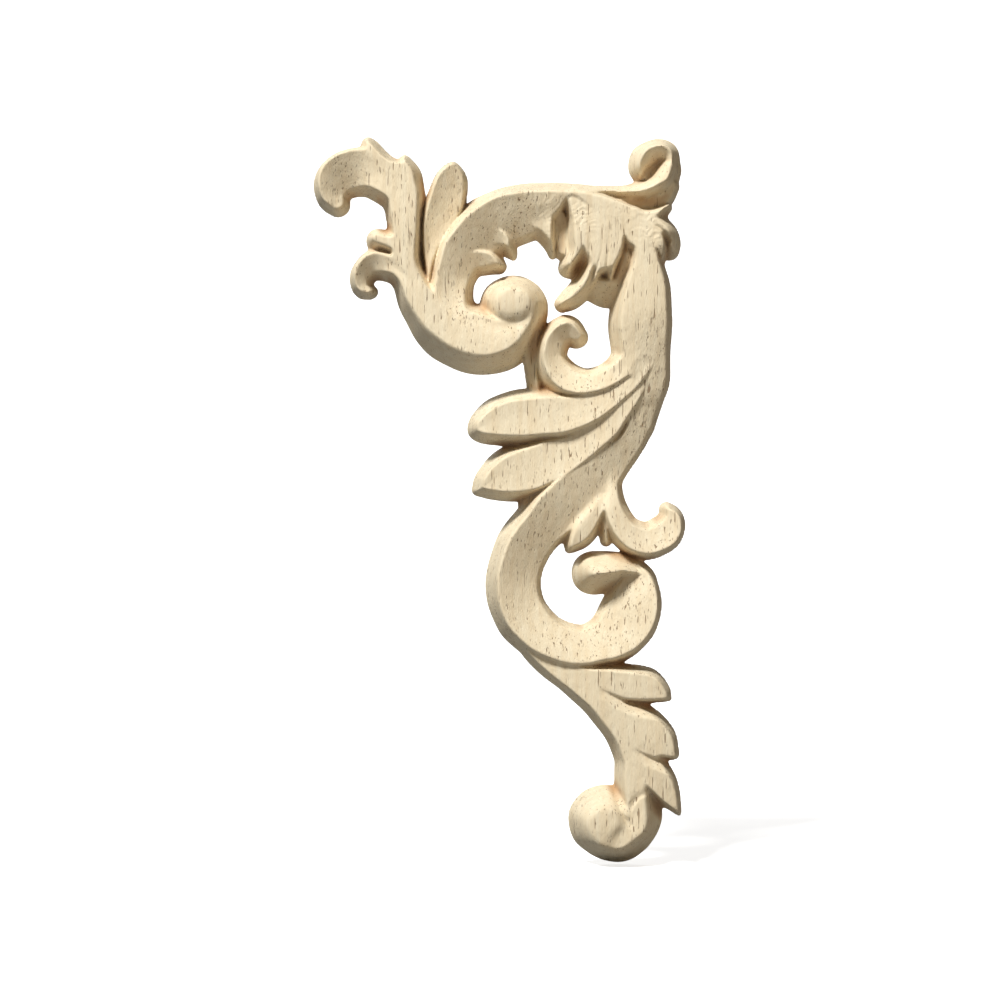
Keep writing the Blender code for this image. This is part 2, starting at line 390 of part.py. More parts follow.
def thinned(front, faces_kept):
    """The same front with about this many faces, fine where it curves and coarse where it is even."""
    mesh = bpy.data.meshes.new("front")
    front.to_mesh(mesh)
    ratio = faces_kept / len(front.faces)
    front.free()
    carrier = bpy.data.objects.new("front", mesh)
    bpy.context.scene.collection.objects.link(carrier)
    carrier.modifiers.new("fewer faces", "DECIMATE").ratio = ratio
    graph = bpy.context.evaluated_depsgraph_get()
    thin = bmesh.new()
    thin.from_mesh(carrier.evaluated_get(graph).to_mesh())
    bpy.data.objects.remove(carrier)
    bpy.data.meshes.remove(mesh)
    return thin


def close_back(front):
    """Closes the front with a flat back: its rims are set in the back plane and filled, holes left open."""
    rims = [edge for edge in front.edges if edge.is_boundary]
    for edge in rims:
        for vert in edge.verts:
            vert.co.y = 0.0
    bmesh.ops.triangle_fill(front, edges=rims, use_beauty=True, normal=(0, 1, 0))
    bmesh.ops.recalc_face_normals(front, faces=front.faces[:])


def pale_hardwood():
    """Unfinished pale hardwood, sanded but not oiled or painted."""
    material = bpy.data.materials.new("pale_hardwood")
    material.use_nodes = True
    shader = material.node_tree.nodes["Principled BSDF"]
    shader.inputs["Base Color"].default_value = WOOD_COLOUR
    shader.inputs["Roughness"].default_value = WOOD_ROUGHNESS
    shader.inputs["Metallic"].default_value = 0.0
    return material


def main():
    for old in list(bpy.data.objects):
        bpy.data.objects.remove(old)
    collection = bpy.data.collections.new("corner_onlay")
    bpy.context.scene.collection.children.link(collection)

    carving = thinned(board_front(), FACES_KEPT)
    close_back(carving)
    mesh = bpy.data.meshes.new("corner_onlay")
    carving.to_mesh(mesh)
    carving.free()
    mesh.shade_smooth()
    mesh.set_sharp_from_angle(angle=SHARP_ANGLE)
    mesh.materials.append(pale_hardwood())
    collection.objects.link(bpy.data.objects.new("corner_onlay", mesh))


if __name__ == "__main__":
    main()
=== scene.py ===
"""A carved corner onlay in pale hardwood, with a plain studio stage around it.

The onlay's mesh is carved again here on a fine grid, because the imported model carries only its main
forms. It stands upright on its foot, with its flat back in the plane y = 0 and its carving towards -Y.
"""

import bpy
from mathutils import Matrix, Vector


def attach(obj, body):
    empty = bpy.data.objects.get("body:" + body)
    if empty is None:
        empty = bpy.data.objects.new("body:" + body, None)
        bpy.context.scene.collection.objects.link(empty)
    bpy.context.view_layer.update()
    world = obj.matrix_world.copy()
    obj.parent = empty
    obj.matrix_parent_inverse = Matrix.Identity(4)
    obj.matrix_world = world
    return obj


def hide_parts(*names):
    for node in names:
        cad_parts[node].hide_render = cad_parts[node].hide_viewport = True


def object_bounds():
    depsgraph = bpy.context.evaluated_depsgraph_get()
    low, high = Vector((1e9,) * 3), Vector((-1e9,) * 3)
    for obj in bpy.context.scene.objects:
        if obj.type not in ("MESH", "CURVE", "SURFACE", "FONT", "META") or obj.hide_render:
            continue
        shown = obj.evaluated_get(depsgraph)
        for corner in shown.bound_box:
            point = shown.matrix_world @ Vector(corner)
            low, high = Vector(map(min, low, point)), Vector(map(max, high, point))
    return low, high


bl_info = {
    "name": "Carved Corner Onlay",
    "version": (1, 0, 0),
    "blender": (4, 5, 0),
    "location": "View3D > Sidebar > Corner Onlay",
    "description": "Carves a corner onlay in pale hardwood and sets a plain studio stage around it",
    "category": "Add Mesh",
}

import math
from collections import namedtuple

import bmesh
import bpy
import numpy as np
from bpy.props import FloatProperty, FloatVectorProperty, PointerProperty
from mathutils import Vector

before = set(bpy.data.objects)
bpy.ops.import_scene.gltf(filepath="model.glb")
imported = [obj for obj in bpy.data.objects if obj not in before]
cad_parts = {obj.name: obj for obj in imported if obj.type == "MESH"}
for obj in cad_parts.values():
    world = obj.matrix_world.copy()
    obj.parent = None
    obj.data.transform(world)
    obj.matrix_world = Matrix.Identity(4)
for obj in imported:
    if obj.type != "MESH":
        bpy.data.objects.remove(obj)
CAD_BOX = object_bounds()

# Driving sizes, in millimetres: the panel that the onlay fills, the origin's place from the panel's left
# edge and foot, and the board's thickness
PANEL_WIDTH = 101.5
PANEL_HEIGHT = 200.0
ORIGIN_X = 75.0
ORIGIN_Z = 110.5
BOARD = 14.0

# One millimetre, in metres
MM = 0.001

# How the carving is worked out, in millimetres: the empty strip round the panel, the step along a curve,
# how far two walls round into each other, the height that stands for no wood, and how far outside a lobe
# its wall is followed
MARGIN = 1.5
PATH_STEP = 0.6
JOIN = 0.5
CUT_THROUGH = -3.0
OUTER_REACH = 4.0

# The most that a lobe's half width may change for each millimetre along it
QUICKEST_SPREAD = 0.9

# Traces of hand work, in millimetres: how far the lines waver and over what length, and how deep the small
# dents are and how far apart. The broad dents are wider than the small ones by a factor.
WAVER = 0.13
WAVER_LENGTH = 9.0
DENTS = 0.022
DENT_LENGTH = 2.4
BROAD_DENTS = 2.6

# Gouge marks, in millimetres: how far apart they stand, how far they lean for each millimetre across their
# row, and how far they wander and over what length
MARK_SPACING = 1.05
MARK_SLANT = 0.35
MARK_WANDER = 0.5
MARK_WANDER_LENGTH = 4.0

# Traces of hand work fade out below this height of wood, in millimetres
TRACES_FADE = 2.0

# Unevenness is a sum of this many random waves, whose lengths lie between these shares of the one asked
# for. The seeds keep it the same in every run, and each row of gouge marks has a seed of its own.
WAVES = 14
SHORTEST_WAVE = 0.7
LONGEST_WAVE = 1.5
WAVER_SEEDS = (1, 2)
DENT_SEEDS = (3, 4)
FIRST_MARK_SEED = 20

# Wood below the rims within this reach on two opposite sides is given painted shade, which darkens it
# from this start, over this depth, in millimetres, and every so many points of the grid are looked at
HOLLOW_REACH = 3.4
HOLLOW_START = 0.5
HOLLOW_DEPTH = 8.5
HOLLOW_STRIDE = 2

# Edges of the carved mesh that bend more than this are shaded sharp
SHARP_ANGLE = math.radians(60)

# How often the wood's noises repeat in a millimetre across the board, through it and along it
STREAK_SCALE = (0.55, 0.55, 0.022)
FIBRE_SCALE = (3.6, 3.6, 0.24)
CROWD_SCALE = (0.09, 0.09, 0.035)
FUZZ_SCALE = (4.6, 4.6, 1.0)

# Noise values that are spread out to 0 and 1 for the streaks and fibres
NOISE_LOW = 0.34
NOISE_HIGH = 0.66

# Each kind of pore: how often its noise repeats in a millimetre across and along the board, and the values
# at which a pore begins and is full. Crowding lifts the values where pores stand closer.
PORE_KINDS = ((2.1, 0.115, 0.728, 0.785), (3.4, 0.26, 0.765, 0.81))
CROWDING = 0.14

# How strongly the streaks, the fine fibres and the pores tint the wood
STREAK_TINT = 0.55
FIBRE_TINT = 0.14
PORE_TINT = 0.8

# How far the roughness falls and rises with the streaks
SMOOTHER = 0.06
ROUGHER = 0.1

# The bump of the wood: the height of a full pore beside the fuzz's height of 1, the bump's strength, and
# its height in metres
PORE_SINK = -1.6
BUMP_STRENGTH = 0.7
BUMP_HEIGHT = 0.0003

# The paper: how brightly it glows where the camera sees it, how much light it throws back elsewhere, the
# shade of its darker patches, and its roughness
PAPER_GLOW = 0.72
PAPER_BOUNCE = 0.22
PAPER_SHADE = 0.985
PAPER_ROUGHNESS = 0.9

# The paper's sweep, in metres: its front edge, its backdrop, the backdrop's height, the radius of its bend,
# half its width and the gap under the onlay, with the number of steps in the bend
SWEEP_FRONT = -1.6
SWEEP_BACK = 1.3
SWEEP_RISE = 1.5
SWEEP_BEND = 0.5
SWEEP_HALF_WIDTH = 2.2
SWEEP_GAP = 0.0004
BEND_STEPS = 12

# Each light's size and its place from the onlay's middle, in metres, and its colour
Light = namedtuple("Light", "size place colour")
KEY_LIGHT = Light(0.45, (-0.66, -1.08, 1.55), (1.0, 0.985, 0.955))
FILL_LIGHT = Light(0.4, (0.6, -0.6, -0.05), (1.0, 0.78, 0.52))
BACK_LIGHT = Light(0.4, (-0.3, 0.62, 0.5), (1.0, 1.0, 1.0))

# Colour of the even light from all sides, and the width of the camera's sensor in millimetres
AIR_COLOUR = (1.0, 0.95, 0.88)
SENSOR_WIDTH = 36.0

# Numbers of a Mix node's colour sockets, which share their names with its other sockets
COLOUR_A = 6
COLOUR_B = 7
COLOUR_RESULT = 2

# How far a lobe's wall runs in, for each millimetre that it rises
SHEER = 0.16
STEEP = 0.25
FIRM = 0.30
SOFT = 0.34
EASY = 0.38
WIDE = 0.48
BROAD = 0.62

# Crown is how far the middle of a lobe's face stands over the line between its edges, drafts are its left
# and right walls, and shoulders are the heights over which the walls round into the face.
Lobe = namedtuple("Lobe", "crown drafts shoulders stations")

# Flow is how far the faces and walls of a surface's lobes run into one another, and melt is the height
# over which the surface runs into the others.
Surface = namedtuple("Surface", "flow melt lobes")

# Each station of a lobe is x, z, half width, height at the left edge and height at the right edge, with
# left and right as seen when moving from one station to the next. x runs from the panel's left edge and
# z from its foot. The lobes of one surface share its face, and the highest surface is the one that shows.
SURFACES = {
    # arch and upper scroll, with the branch at the top left, its hooks and its points
    "upper": Surface(1.1, 0.5, {
        "arch": Lobe(0.3, (STEEP, FIRM), (1.2, 1.6), [
            (84, 177.6, 5.0, 11.4, 11.6), (77, 180.8, 5.2, 11.4, 11.6), (70, 183.2, 3.9, 11.2, 11.9),
            (63, 180.6, 6.5, 8.6, 12.1), (57, 178.7, 8.2, 5.2, 12.4), (48.6, 175.6, 8.6, 4.6, 12.8),
            (41.6, 169.6, 8.0, 4.6, 13.0), (37.6, 162, 6.9, 5.4, 13.0), (36.9, 155.5, 6.7, 7.6, 12.4),
            (39.2, 149.5, 5.6, 9.6, 11.6), (43, 146, 4.0, 10.4, 11.2)]),
        "upper_scroll": Lobe(0.5, (STEEP, SOFT), (2.0, 5.0), [
            (25.8, 166, 3.0, 11.0, 11.0), (27.6, 158.4, 4.6, 11.2, 11.4), (31.3, 151.9, 7.0, 11.4, 12.0),
            (36.8, 147.0, 9.0, 11.0, 12.6), (44, 143.8, 9.3, 10.8, 13.2), (50.5, 142.6, 7.5, 11.2, 13.3),
            (56.4, 145.4, 5.4, 11.4, 12.8), (59.6, 149.8, 3.8, 11.4, 11.8),
            (60.6, 153.6, 2.8, 11.0, 11.0)]),
        "upper_eye": Lobe(2.2, (FIRM, FIRM), (4.0, 4.0), [
            (54.2, 152.9, 8.8, 11.4, 11.4), (54.9, 152.8, 8.8, 11.4, 11.4)]),
        "eye_seam": Lobe(0, (FIRM, FIRM), (1.0, 1.0), [
            (44.5, 148.6, 4.6, 11.0, 11.0), (49, 147.4, 5.0, 11.4, 11.6), (54, 147.2, 5.0, 11.6, 12.0),
            (58, 149.6, 4.4, 11.6, 11.8), (59.6, 153, 3.4, 11.6, 11.6)]),
        "branch": Lobe(0.2, (SHEER, SHEER), (0.8, 1.2), [
            (22.4, 187.6, 5.6, 11.0, 11.0), (24.4, 183, 5.9, 11.2, 11.2), (24.9, 176, 5.2, 11.4, 11.4),
            (24.8, 169, 5.0, 11.6, 11.5), (25.7, 162, 4.9, 11.8, 11.6), (28.2, 156, 5.6, 12.0, 11.8),
            (32.2, 150.8, 6.4, 11.8, 12.0), (37.0, 147.4, 5.2, 11.4, 12.0)]),
        "top_hook": Lobe(0, (STEEP, SHEER), (0.8, 1.2), [
            (25, 182.5, 4.4, 11.0, 11.0), (21, 186.4, 6.3, 10.9, 11.2), (16, 189.5, 6.6, 8.8, 11.4),
            (11, 190.1, 6.8, 6.4, 11.7), (6.6, 188.2, 6.3, 5.4, 11.8), (4.9, 184, 4.9, 5.2, 11.0),
            (6.3, 181, 3.3, 5.8, 8.6)]),
        "top_point": Lobe(0.1, (SHEER, STEEP), (0.6, 0.6), [
            (20.5, 186, 4.4, 10.8, 11.0), (18, 191, 4.2, 10.7, 11.2), (15.5, 195.8, 2.9, 10.2, 11.0),
            (14.4, 197.9, 1.8, 9.6, 10.4)]),
        "side_point": Lobe(0.1, (SHEER, STEEP), (0.6, 0.6), [
            (25, 184, 4.2, 10.8, 11.0), (25.5, 188.6, 3.8, 10.7, 10.9), (25.0, 192, 2.2, 10.4, 10.8),
            (24.6, 193.7, 1.1, 10.0, 10.4)]),
        "low_hook": Lobe(0, (STEEP, SHEER), (0.7, 1.0), [
            (26.5, 159.5, 4.0, 11.2, 11.4), (22.0, 163.2, 4.2, 9.6, 11.4), (16.4, 164.5, 4.2, 6.2, 11.4),
            (13.2, 161.7, 3.6, 5.6, 11.2), (13.1, 158.4, 3.1, 5.8, 10.0), (15, 157, 2.2, 6.2, 8.4)]),
        "knob": Lobe(0.4, (SHEER, STEEP), (0.8, 2.0), [(24, 169.4, 3.8, 11.2, 11.2),
            (17.5, 171.1, 3.5, 10.6, 10.8)]),
    }),
    "back_leaf": Surface(1.0, 0.5, {
        "back_leaf": Lobe(-0.9, (SHEER, SHEER), (0.5, 0.5), [
            (31.2, 157.5, 1.2, 10.4, 9.6), (31.6, 166, 2.3, 8.4, 7.4), (33, 174, 4.2, 8.8, 6.0),
            (35.8, 181, 5.6, 9.6, 5.8), (37.1, 186.6, 4.9, 10.0, 6.6), (37.7, 190.3, 2.6, 9.8, 7.8),
            (37.9, 192.2, 0.8, 9.4, 9.2)]),
    }),
    # leaflets on the hollow side of the arch
    "arch_leaflet_1": Surface(1.0, 1.2, {
        "arch_leaflet_1": Lobe(-0.2, (STEEP, EASY), (0.5, 0.5), [
            (38, 162.0, 3.4, 7.0, 5.2), (42.6, 165.0, 4.2, 8.2, 4.8), (47.5, 165.6, 3.8, 9.2, 5.2),
            (50.3, 164.2, 2.2, 9.2, 6.4)]),
    }),
    "arch_leaflet_2": Surface(1.0, 1.2, {
        "arch_leaflet_2": Lobe(-0.2, (STEEP, EASY), (0.5, 0.5), [
            (41, 170.6, 4.0, 7.0, 5.2), (47, 172.4, 4.5, 8.6, 4.8), (51.6, 171, 3.6, 9.8, 5.4),
            (53.8, 168, 1.9, 9.6, 6.8), (54.4, 166.7, 1.0, 9.2, 7.6)]),
    }),
    "arch_leaflet_3": Surface(1.0, 1.4, {
        "arch_leaflet_3": Lobe(-0.4, (SHEER, EASY), (0.5, 0.5), [
            (56, 178.4, 4.4, 7.6, 5.6), (60.6, 178.0, 5.6, 10.2, 5.8), (63.2, 174.4, 3.8, 11.6, 6.4),
            (64.6, 170.2, 2.3, 11.4, 7.4), (65.3, 167.4, 1.4, 10.4, 8.2)]),
    }),
    # crown with its fingers and side lobes, the curl, the stem down into the lower scroll, and its hooks
    "stem": Surface(0.9, 0.5, {
        "crown": Lobe(0.1, (SHEER, SHEER), (1.0, 1.0), [
            (71.4, 181.8, 4.4, 11.2, 11.2), (77, 176.8, 7.6, 11.8, 11.8), (78.4, 170.5, 7.6, 11.9, 11.9),
            (79, 167, 5.8, 11.9, 11.9), (79, 165.6, 4.8, 11.8, 11.8)]),
        "shoulder": Lobe(0.1, (SHEER, SHEER), (1.0, 1.0), [
            (78, 180.4, 4.0, 11.8, 11.8), (85, 176.2, 5.4, 11.9, 11.9), (87.6, 171.5, 4.6, 11.9, 11.9)]),
        "cheek": Lobe(0.1, (SHEER, SHEER), (0.6, 1.0), [
            (84, 176.0, 4.4, 11.9, 11.9), (90, 174.6, 4.2, 11.9, 11.9), (94, 172.2, 3.4, 11.8, 11.8)]),
        "finger_1": Lobe(0.1, (EASY, SHEER), (0.6, 0.6), [
            (73.4, 179, 4.4, 11.4, 11.4), (72.6, 172.5, 4.1, 11.9, 11.9), (72.0, 167.6, 3.7, 11.8, 11.6),
            (69.9, 163.9, 3.0, 10.8, 10.6)]),
        "finger_2": Lobe(0.1, (STEEP, STEEP), (0.6, 0.6), [
            (77.4, 178, 3.6, 11.8, 11.8), (77.2, 172, 3.6, 11.9, 11.9), (76.3, 165, 3.0, 11.9, 11.9),
            (74.4, 159.8, 3.3, 11.4, 11.6), (70.8, 155.6, 3.2, 10.6, 11.0), (67.9, 153.7, 2.2, 9.6, 10.2)]),
        "finger_3": Lobe(0.1, (SHEER, SHEER), (0.6, 0.6), [
            (79.4, 178, 3.0, 11.8, 11.8), (79.3, 172, 3.0, 11.9, 11.9), (78.4, 166, 2.6, 11.9, 11.9),
            (77.4, 161.6, 2.2, 11.7, 11.7), (75.8, 158.4, 1.5, 11.2, 11.2), (74.8, 157.1, 0.8, 10.8, 10.8)]),
        "finger_4": Lobe(0.1, (STEEP, SHEER), (0.6, 0.6), [
            (83.0, 178, 3.4, 11.8, 11.8), (82.0, 172, 3.2, 11.9, 11.9), (82.0, 166.5, 2.5, 11.9, 11.9),
            (81.3, 161.4, 2.1, 11.7, 11.7), (80.6, 157.6, 0.9, 10.6, 10.6)]),
        "stem": Lobe(0.8, (SHEER, STEEP), (1.4, 1.0), [
            (87, 176.5, 4.6, 11.6, 11.6), (89.4, 171, 4.6, 11.6, 11.6), (90.5, 164.5, 5.6, 11.6, 11.5),
            (90.0, 157, 7.8, 11.7, 11.6), (89.6, 150, 8.7, 11.4, 11.8), (89.6, 142, 8.3, 9.8, 11.6),
            (90.8, 133, 6.7, 8.0, 11.0), (89.9, 125.6, 5.1, 6.8, 10.4), (89.0, 121.4, 4.6, 6.6, 10.0)]),
        "lower_scroll": Lobe(0.2, (SHEER, FIRM), (1.2, 2.2), [
            (89.9, 125.6, 4.9, 6.8, 10.4), (86.6, 117.0, 4.8, 6.4, 9.8), (80.8, 110.6, 6.4, 6.0, 9.8),
            (74.4, 105.2, 7.6, 6.0, 10.4), (66.8, 98.4, 8.2, 6.0, 11.8), (60.7, 91.8, 7.6, 5.8, 12.5),
            (56.4, 85, 7.6, 5.6, 12.8), (54.5, 77.6, 7.6, 5.8, 12.9), (55.6, 70.3, 7.5, 6.2, 12.7),
            (59.8, 64.3, 7.3, 6.8, 12.4), (66, 60.4, 6.8, 7.2, 12.2), (73.5, 58.9, 6.7, 7.0, 12.0),
            (79.6, 60.6, 7.0, 6.6, 12.0)]),
        "scroll_end": Lobe(0.2, (STEEP, SHEER), (1.2, 1.4), [
            (81.8, 62.0, 7.2, 6.4, 12.0), (85.0, 65.6, 8.4, 6.2, 11.8), (87.4, 71.3, 8.1, 5.8, 11.2),
            (88.3, 77, 5.4, 5.6, 9.0), (88, 81, 2.8, 5.6, 7.0)]),
        "middle_hook": Lobe(-0.2, (STEEP, STEEP), (0.7, 0.7), [
            (92.4, 147.0, 4.0, 12.0, 12.0), (88.6, 139.6, 5.4, 12.3, 12.0), (82, 133.7, 4.9, 12.8, 9.8),
            (75, 131.2, 5.0, 12.8, 8.4), (68.4, 132.7, 5.6, 12.8, 7.2), (64.8, 138.3, 4.8, 12.8, 6.6),
            (65.9, 144, 4.6, 12.6, 6.2), (69.4, 146.5, 4.2, 12.2, 6.2), (71.9, 144.6, 3.2, 10.8, 6.6)]),
        "low_right_hook": Lobe(-0.2, (STEEP, SHEER), (0.5, 0.5), [
            (81.6, 110, 2.4, 7.4, 7.4), (81.0, 104, 3.2, 7.8, 8.2), (82.0, 97.4, 4.0, 8.6, 9.8),
            (85.4, 91.1, 4.8, 8.6, 10.8), (91, 88.6, 5.3, 8.0, 11.1), (96.3, 90.8, 5.1, 8.0, 10.8),
            (97.9, 94.6, 3.6, 8.0, 10.2), (96.6, 97.5, 1.9, 8.0, 9.2)]),
        "small_leaf": Lobe(-0.2, (FIRM, SHEER), (0.5, 0.5), [
            (79.4, 102, 2.4, 6.8, 7.2), (77.2, 97.0, 3.7, 8.0, 8.8), (73.6, 91.2, 4.0, 8.2, 9.2),
            (71.0, 88, 2.6, 8.0, 9.0), (69.8, 86.3, 1.3, 7.8, 8.6)]),
        "side_lobe_1": Lobe(0.2, (SHEER, WIDE), (0.8, 0.6), [
            (87, 175.2, 3.8, 11.8, 11.8), (92, 175.6, 4.0, 11.8, 12.0), (95.6, 173.2, 4.1, 11.7, 11.8),
            (97.3, 170.6, 3.3, 11.4, 11.2), (97.5, 168.9, 3.0, 10.8, 10.6)]),
        "spur": Lobe(0, (SHEER, SHEER), (0.5, 0.5), [
            (80, 179.0, 3.0, 11.7, 11.7), (86, 176.8, 2.8, 11.8, 11.8), (92.3, 177.2, 2.6, 11.6, 11.6),
            (96.9, 180.2, 1.5, 10.6, 10.6)]),
        "curl_band": Lobe(0.2, (SHEER, WIDE), (0.8, 0.6), [
            (72, 182.6, 3.8, 11.4, 11.4), (79, 184.0, 2.4, 11.8, 11.6), (85, 183.6, 2.9, 11.8, 11.8),
            (90.5, 184.2, 3.6, 11.6, 11.9), (95.2, 186.8, 4.0, 10.4, 11.9), (97.2, 190.4, 3.4, 8.6, 11.6)]),
        "curl_ring": Lobe(0.3, (STEEP, FIRM), (0.6, 1.8), [
            (95.6, 187.6, 3.4, 8.4, 11.8), (97.6, 191.4, 2.7, 5.4, 12.4), (96.8, 194.6, 3.4, 4.6, 13.0),
            (94.4, 195.4, 3.9, 4.2, 13.4), (91.2, 194.0, 4.2, 4.2, 13.2), (89.4, 191.4, 3.1, 4.6, 12.0),
            (89.3, 189.4, 2.2, 5.0, 9.8)]),
    }),
    "side_lobe_2": Surface(1.0, 0.5, {
        "side_lobe_2": Lobe(0.2, (SHEER, SHEER), (0.6, 0.6), [
            (87, 175.4, 4.0, 11.6, 11.6), (91.2, 172.0, 4.5, 12.1, 12.0), (94.0, 168.9, 3.2, 12.1, 11.8),
            (94.9, 165.6, 1.6, 10.4, 10.4)]),
    }),
    "lower_eye": Surface(1.0, 0.4, {
        "lower_eye": Lobe(1.4, (BROAD, STEEP), (2.6, 2.6), [
            (93.0, 74.5, 1.2, 9.8, 9.6), (91.6, 77.8, 2.4, 11.0, 10.4), (88.6, 79.9, 3.5, 12.0, 10.6),
            (84.6, 80.7, 4.6, 12.2, 11.0), (80.5, 80.1, 5.7, 12.2, 11.4), (76.6, 79.7, 6.1, 11.8, 11.6)]),
    }),
    # two large leaves on the left of the stem
    "upper_leaf": Surface(1.0, 0.6, {
        "upper_leaf": Lobe(-0.6, (STEEP, FIRM), (0.5, 0.8), [
            (93.6, 140.6, 2.6, 9.6, 9.6), (88.8, 134.6, 5.0, 11.8, 11.4), (80.4, 127.8, 6.0, 12.2, 10.2),
            (71.6, 123.6, 7.2, 11.9, 9.8), (62, 122.8, 8.0, 11.5, 10.2), (53, 121.9, 7.4, 11.1, 10.5),
            (46.8, 120.2, 4.8, 10.8, 10.6), (43.3, 118.3, 1.1, 9.8, 10.0)]),
    }),
    "lower_leaf": Surface(1.0, 0.6, {
        "lower_leaf": Lobe(-0.6, (STEEP, FIRM), (0.5, 0.8), [
            (91.8, 135, 2.6, 9.4, 9.4), (87.8, 128.8, 4.2, 11.3, 11.0), (81.2, 121.0, 5.6, 11.3, 10.0),
            (73.3, 114.8, 6.4, 10.9, 8.8), (64.6, 110.4, 7.9, 10.6, 9.0), (56, 107.6, 8.1, 10.5, 9.8),
            (49.5, 105.3, 5.4, 10.4, 10.2), (44.8, 102.4, 1.7, 9.6, 9.6)]),
    }),
    # tail below the lower scroll, with its three leaves
    "tail": Surface(1.0, 0.5, {
        "tail": Lobe(0.1, (SHEER, STEEP), (0.6, 1.6), [
            (51.6, 66.8, 1.9, 8.0, 8.0), (56.0, 62.1, 2.5, 8.5, 8.5), (62.6, 56.6, 3.9, 9.0, 9.0),
            (71.2, 51.0, 5.2, 9.6, 9.6), (78.7, 44.8, 5.6, 10.2, 10.2), (84.8, 37.2, 6.0, 10.4, 10.2),
            (87.6, 30, 5.6, 10.5, 10.3), (87.4, 24, 5.0, 10.6, 10.5), (86.1, 19.0, 3.3, 10.8, 10.8),
            (84.8, 15.2, 1.0, 10.8, 10.8)]),
        "tail_leaf_1": Lobe(0, (SHEER, SHEER), (0.5, 0.5), [
            (70, 52.2, 3.8, 9.6, 9.6), (78, 50.2, 5.0, 10.1, 10.1), (89.0, 49.2, 5.3, 10.6, 10.6),
            (94.4, 47.3, 3.2, 10.4, 10.6), (97.4, 45.3, 0.8, 9.8, 9.9)]),
        "tail_leaf_2": Lobe(0, (SHEER, SHEER), (0.5, 0.5), [
            (83, 42.0, 4.0, 10.2, 10.2), (88, 39.2, 5.6, 10.4, 10.4), (93.3, 34.8, 5.6, 10.6, 10.7),
            (97.5, 31.1, 2.8, 10.2, 10.4), (99.2, 29.6, 0.9, 9.6, 9.8)]),
        "tail_leaf_3": Lobe(0, (SHEER, SHEER), (0.5, 0.5), [
            (88.6, 31.4, 4.8, 10.4, 10.4), (92.0, 25.2, 5.6, 10.6, 10.2), (96.4, 19.9, 3.9, 10.4, 9.6),
            (99.1, 15, 1.6, 9.8, 9.4), (100, 13.4, 0.6, 9.4, 9.4)]),
        "foot_bowl": Lobe(0.1, (WIDE, SHEER), (5.0, 3.0), [
            (88.2, 25.0, 4.8, 10.5, 10.5), (88.9, 18.0, 6.0, 11.4, 9.9), (88.0, 11.8, 7.2, 12.0, 9.6),
            (83.4, 8.4, 8.4, 11.6, 10.8)]),
        "foot_ball": Lobe(1.4, (SOFT, SOFT), (4.5, 4.5), [
            (79.5, 11.6, 9.8, 11.2, 11.2), (80.1, 11.2, 9.8, 11.2, 11.2)]),
    }),
    # lower floors between the surfaces
    "floors": Surface(1.0, 0.4, {
        "finger_channel": Lobe(0, (STEEP, STEEP), (1.0, 1.0), [
            (66.4, 180.6, 1.6, 8.4, 8.4), (67.6, 177, 3.0, 6.6, 6.6), (68.3, 173, 3.6, 5.6, 5.6),
            (68.6, 168.8, 3.3, 5.2, 5.2)]),
        "finger_web": Lobe(0, (EASY, WIDE), (1.0, 1.0), [
            (76.2, 158.6, 4.2, 9.6, 2.4), (80.6, 157.6, 5.0, 11.0, 1.6), (84.4, 159.2, 5.2, 9.6, 3.0),
            (85.4, 165.0, 4.6, 8.4, 8.0), (85.4, 169.6, 3.8, 10.0, 10.0)]),
        "cup": Lobe(0, (STEEP, STEEP), (0.6, 0.6), [(91.8, 190.8, 4.2, 4.4, 4.4),
            (94.8, 193, 4.4, 4.4, 4.4)]),
        "curl_web": Lobe(0, (STEEP, STEEP), (0.6, 0.6), [
            (83, 181.0, 2.6, 7.0, 7.0), (90, 181.2, 3.8, 4.8, 4.8), (94.6, 183.0, 4.0, 4.6, 4.6),
            (97.2, 186.0, 3.0, 5.2, 5.2)]),
        "hook_web": Lobe(0, (WIDE, SHEER), (1.0, 1.0), [
            (60.4, 148, 3.4, 7.0, 3.0), (59.7, 140, 2.9, 5.4, 2.6), (60.1, 134, 2.4, 5.0, 2.6),
            (61, 128, 2.4, 5.0, 2.6)]),
        "leaf_web": Lobe(0, (FIRM, FIRM), (2.0, 2.0), [(66, 102, 5.5, 6.6, 6.6),
            (59.5, 98.6, 4.0, 5.0, 5.0)]),
        "small_leaf_web": Lobe(0, (STEEP, FIRM), (0.8, 0.8), [
            (80.4, 99, 2.6, 6.8, 6.8), (79.6, 93, 2.2, 6.0, 6.0), (80.0, 88.6, 1.7, 4.6, 4.6)]),
    }),
}

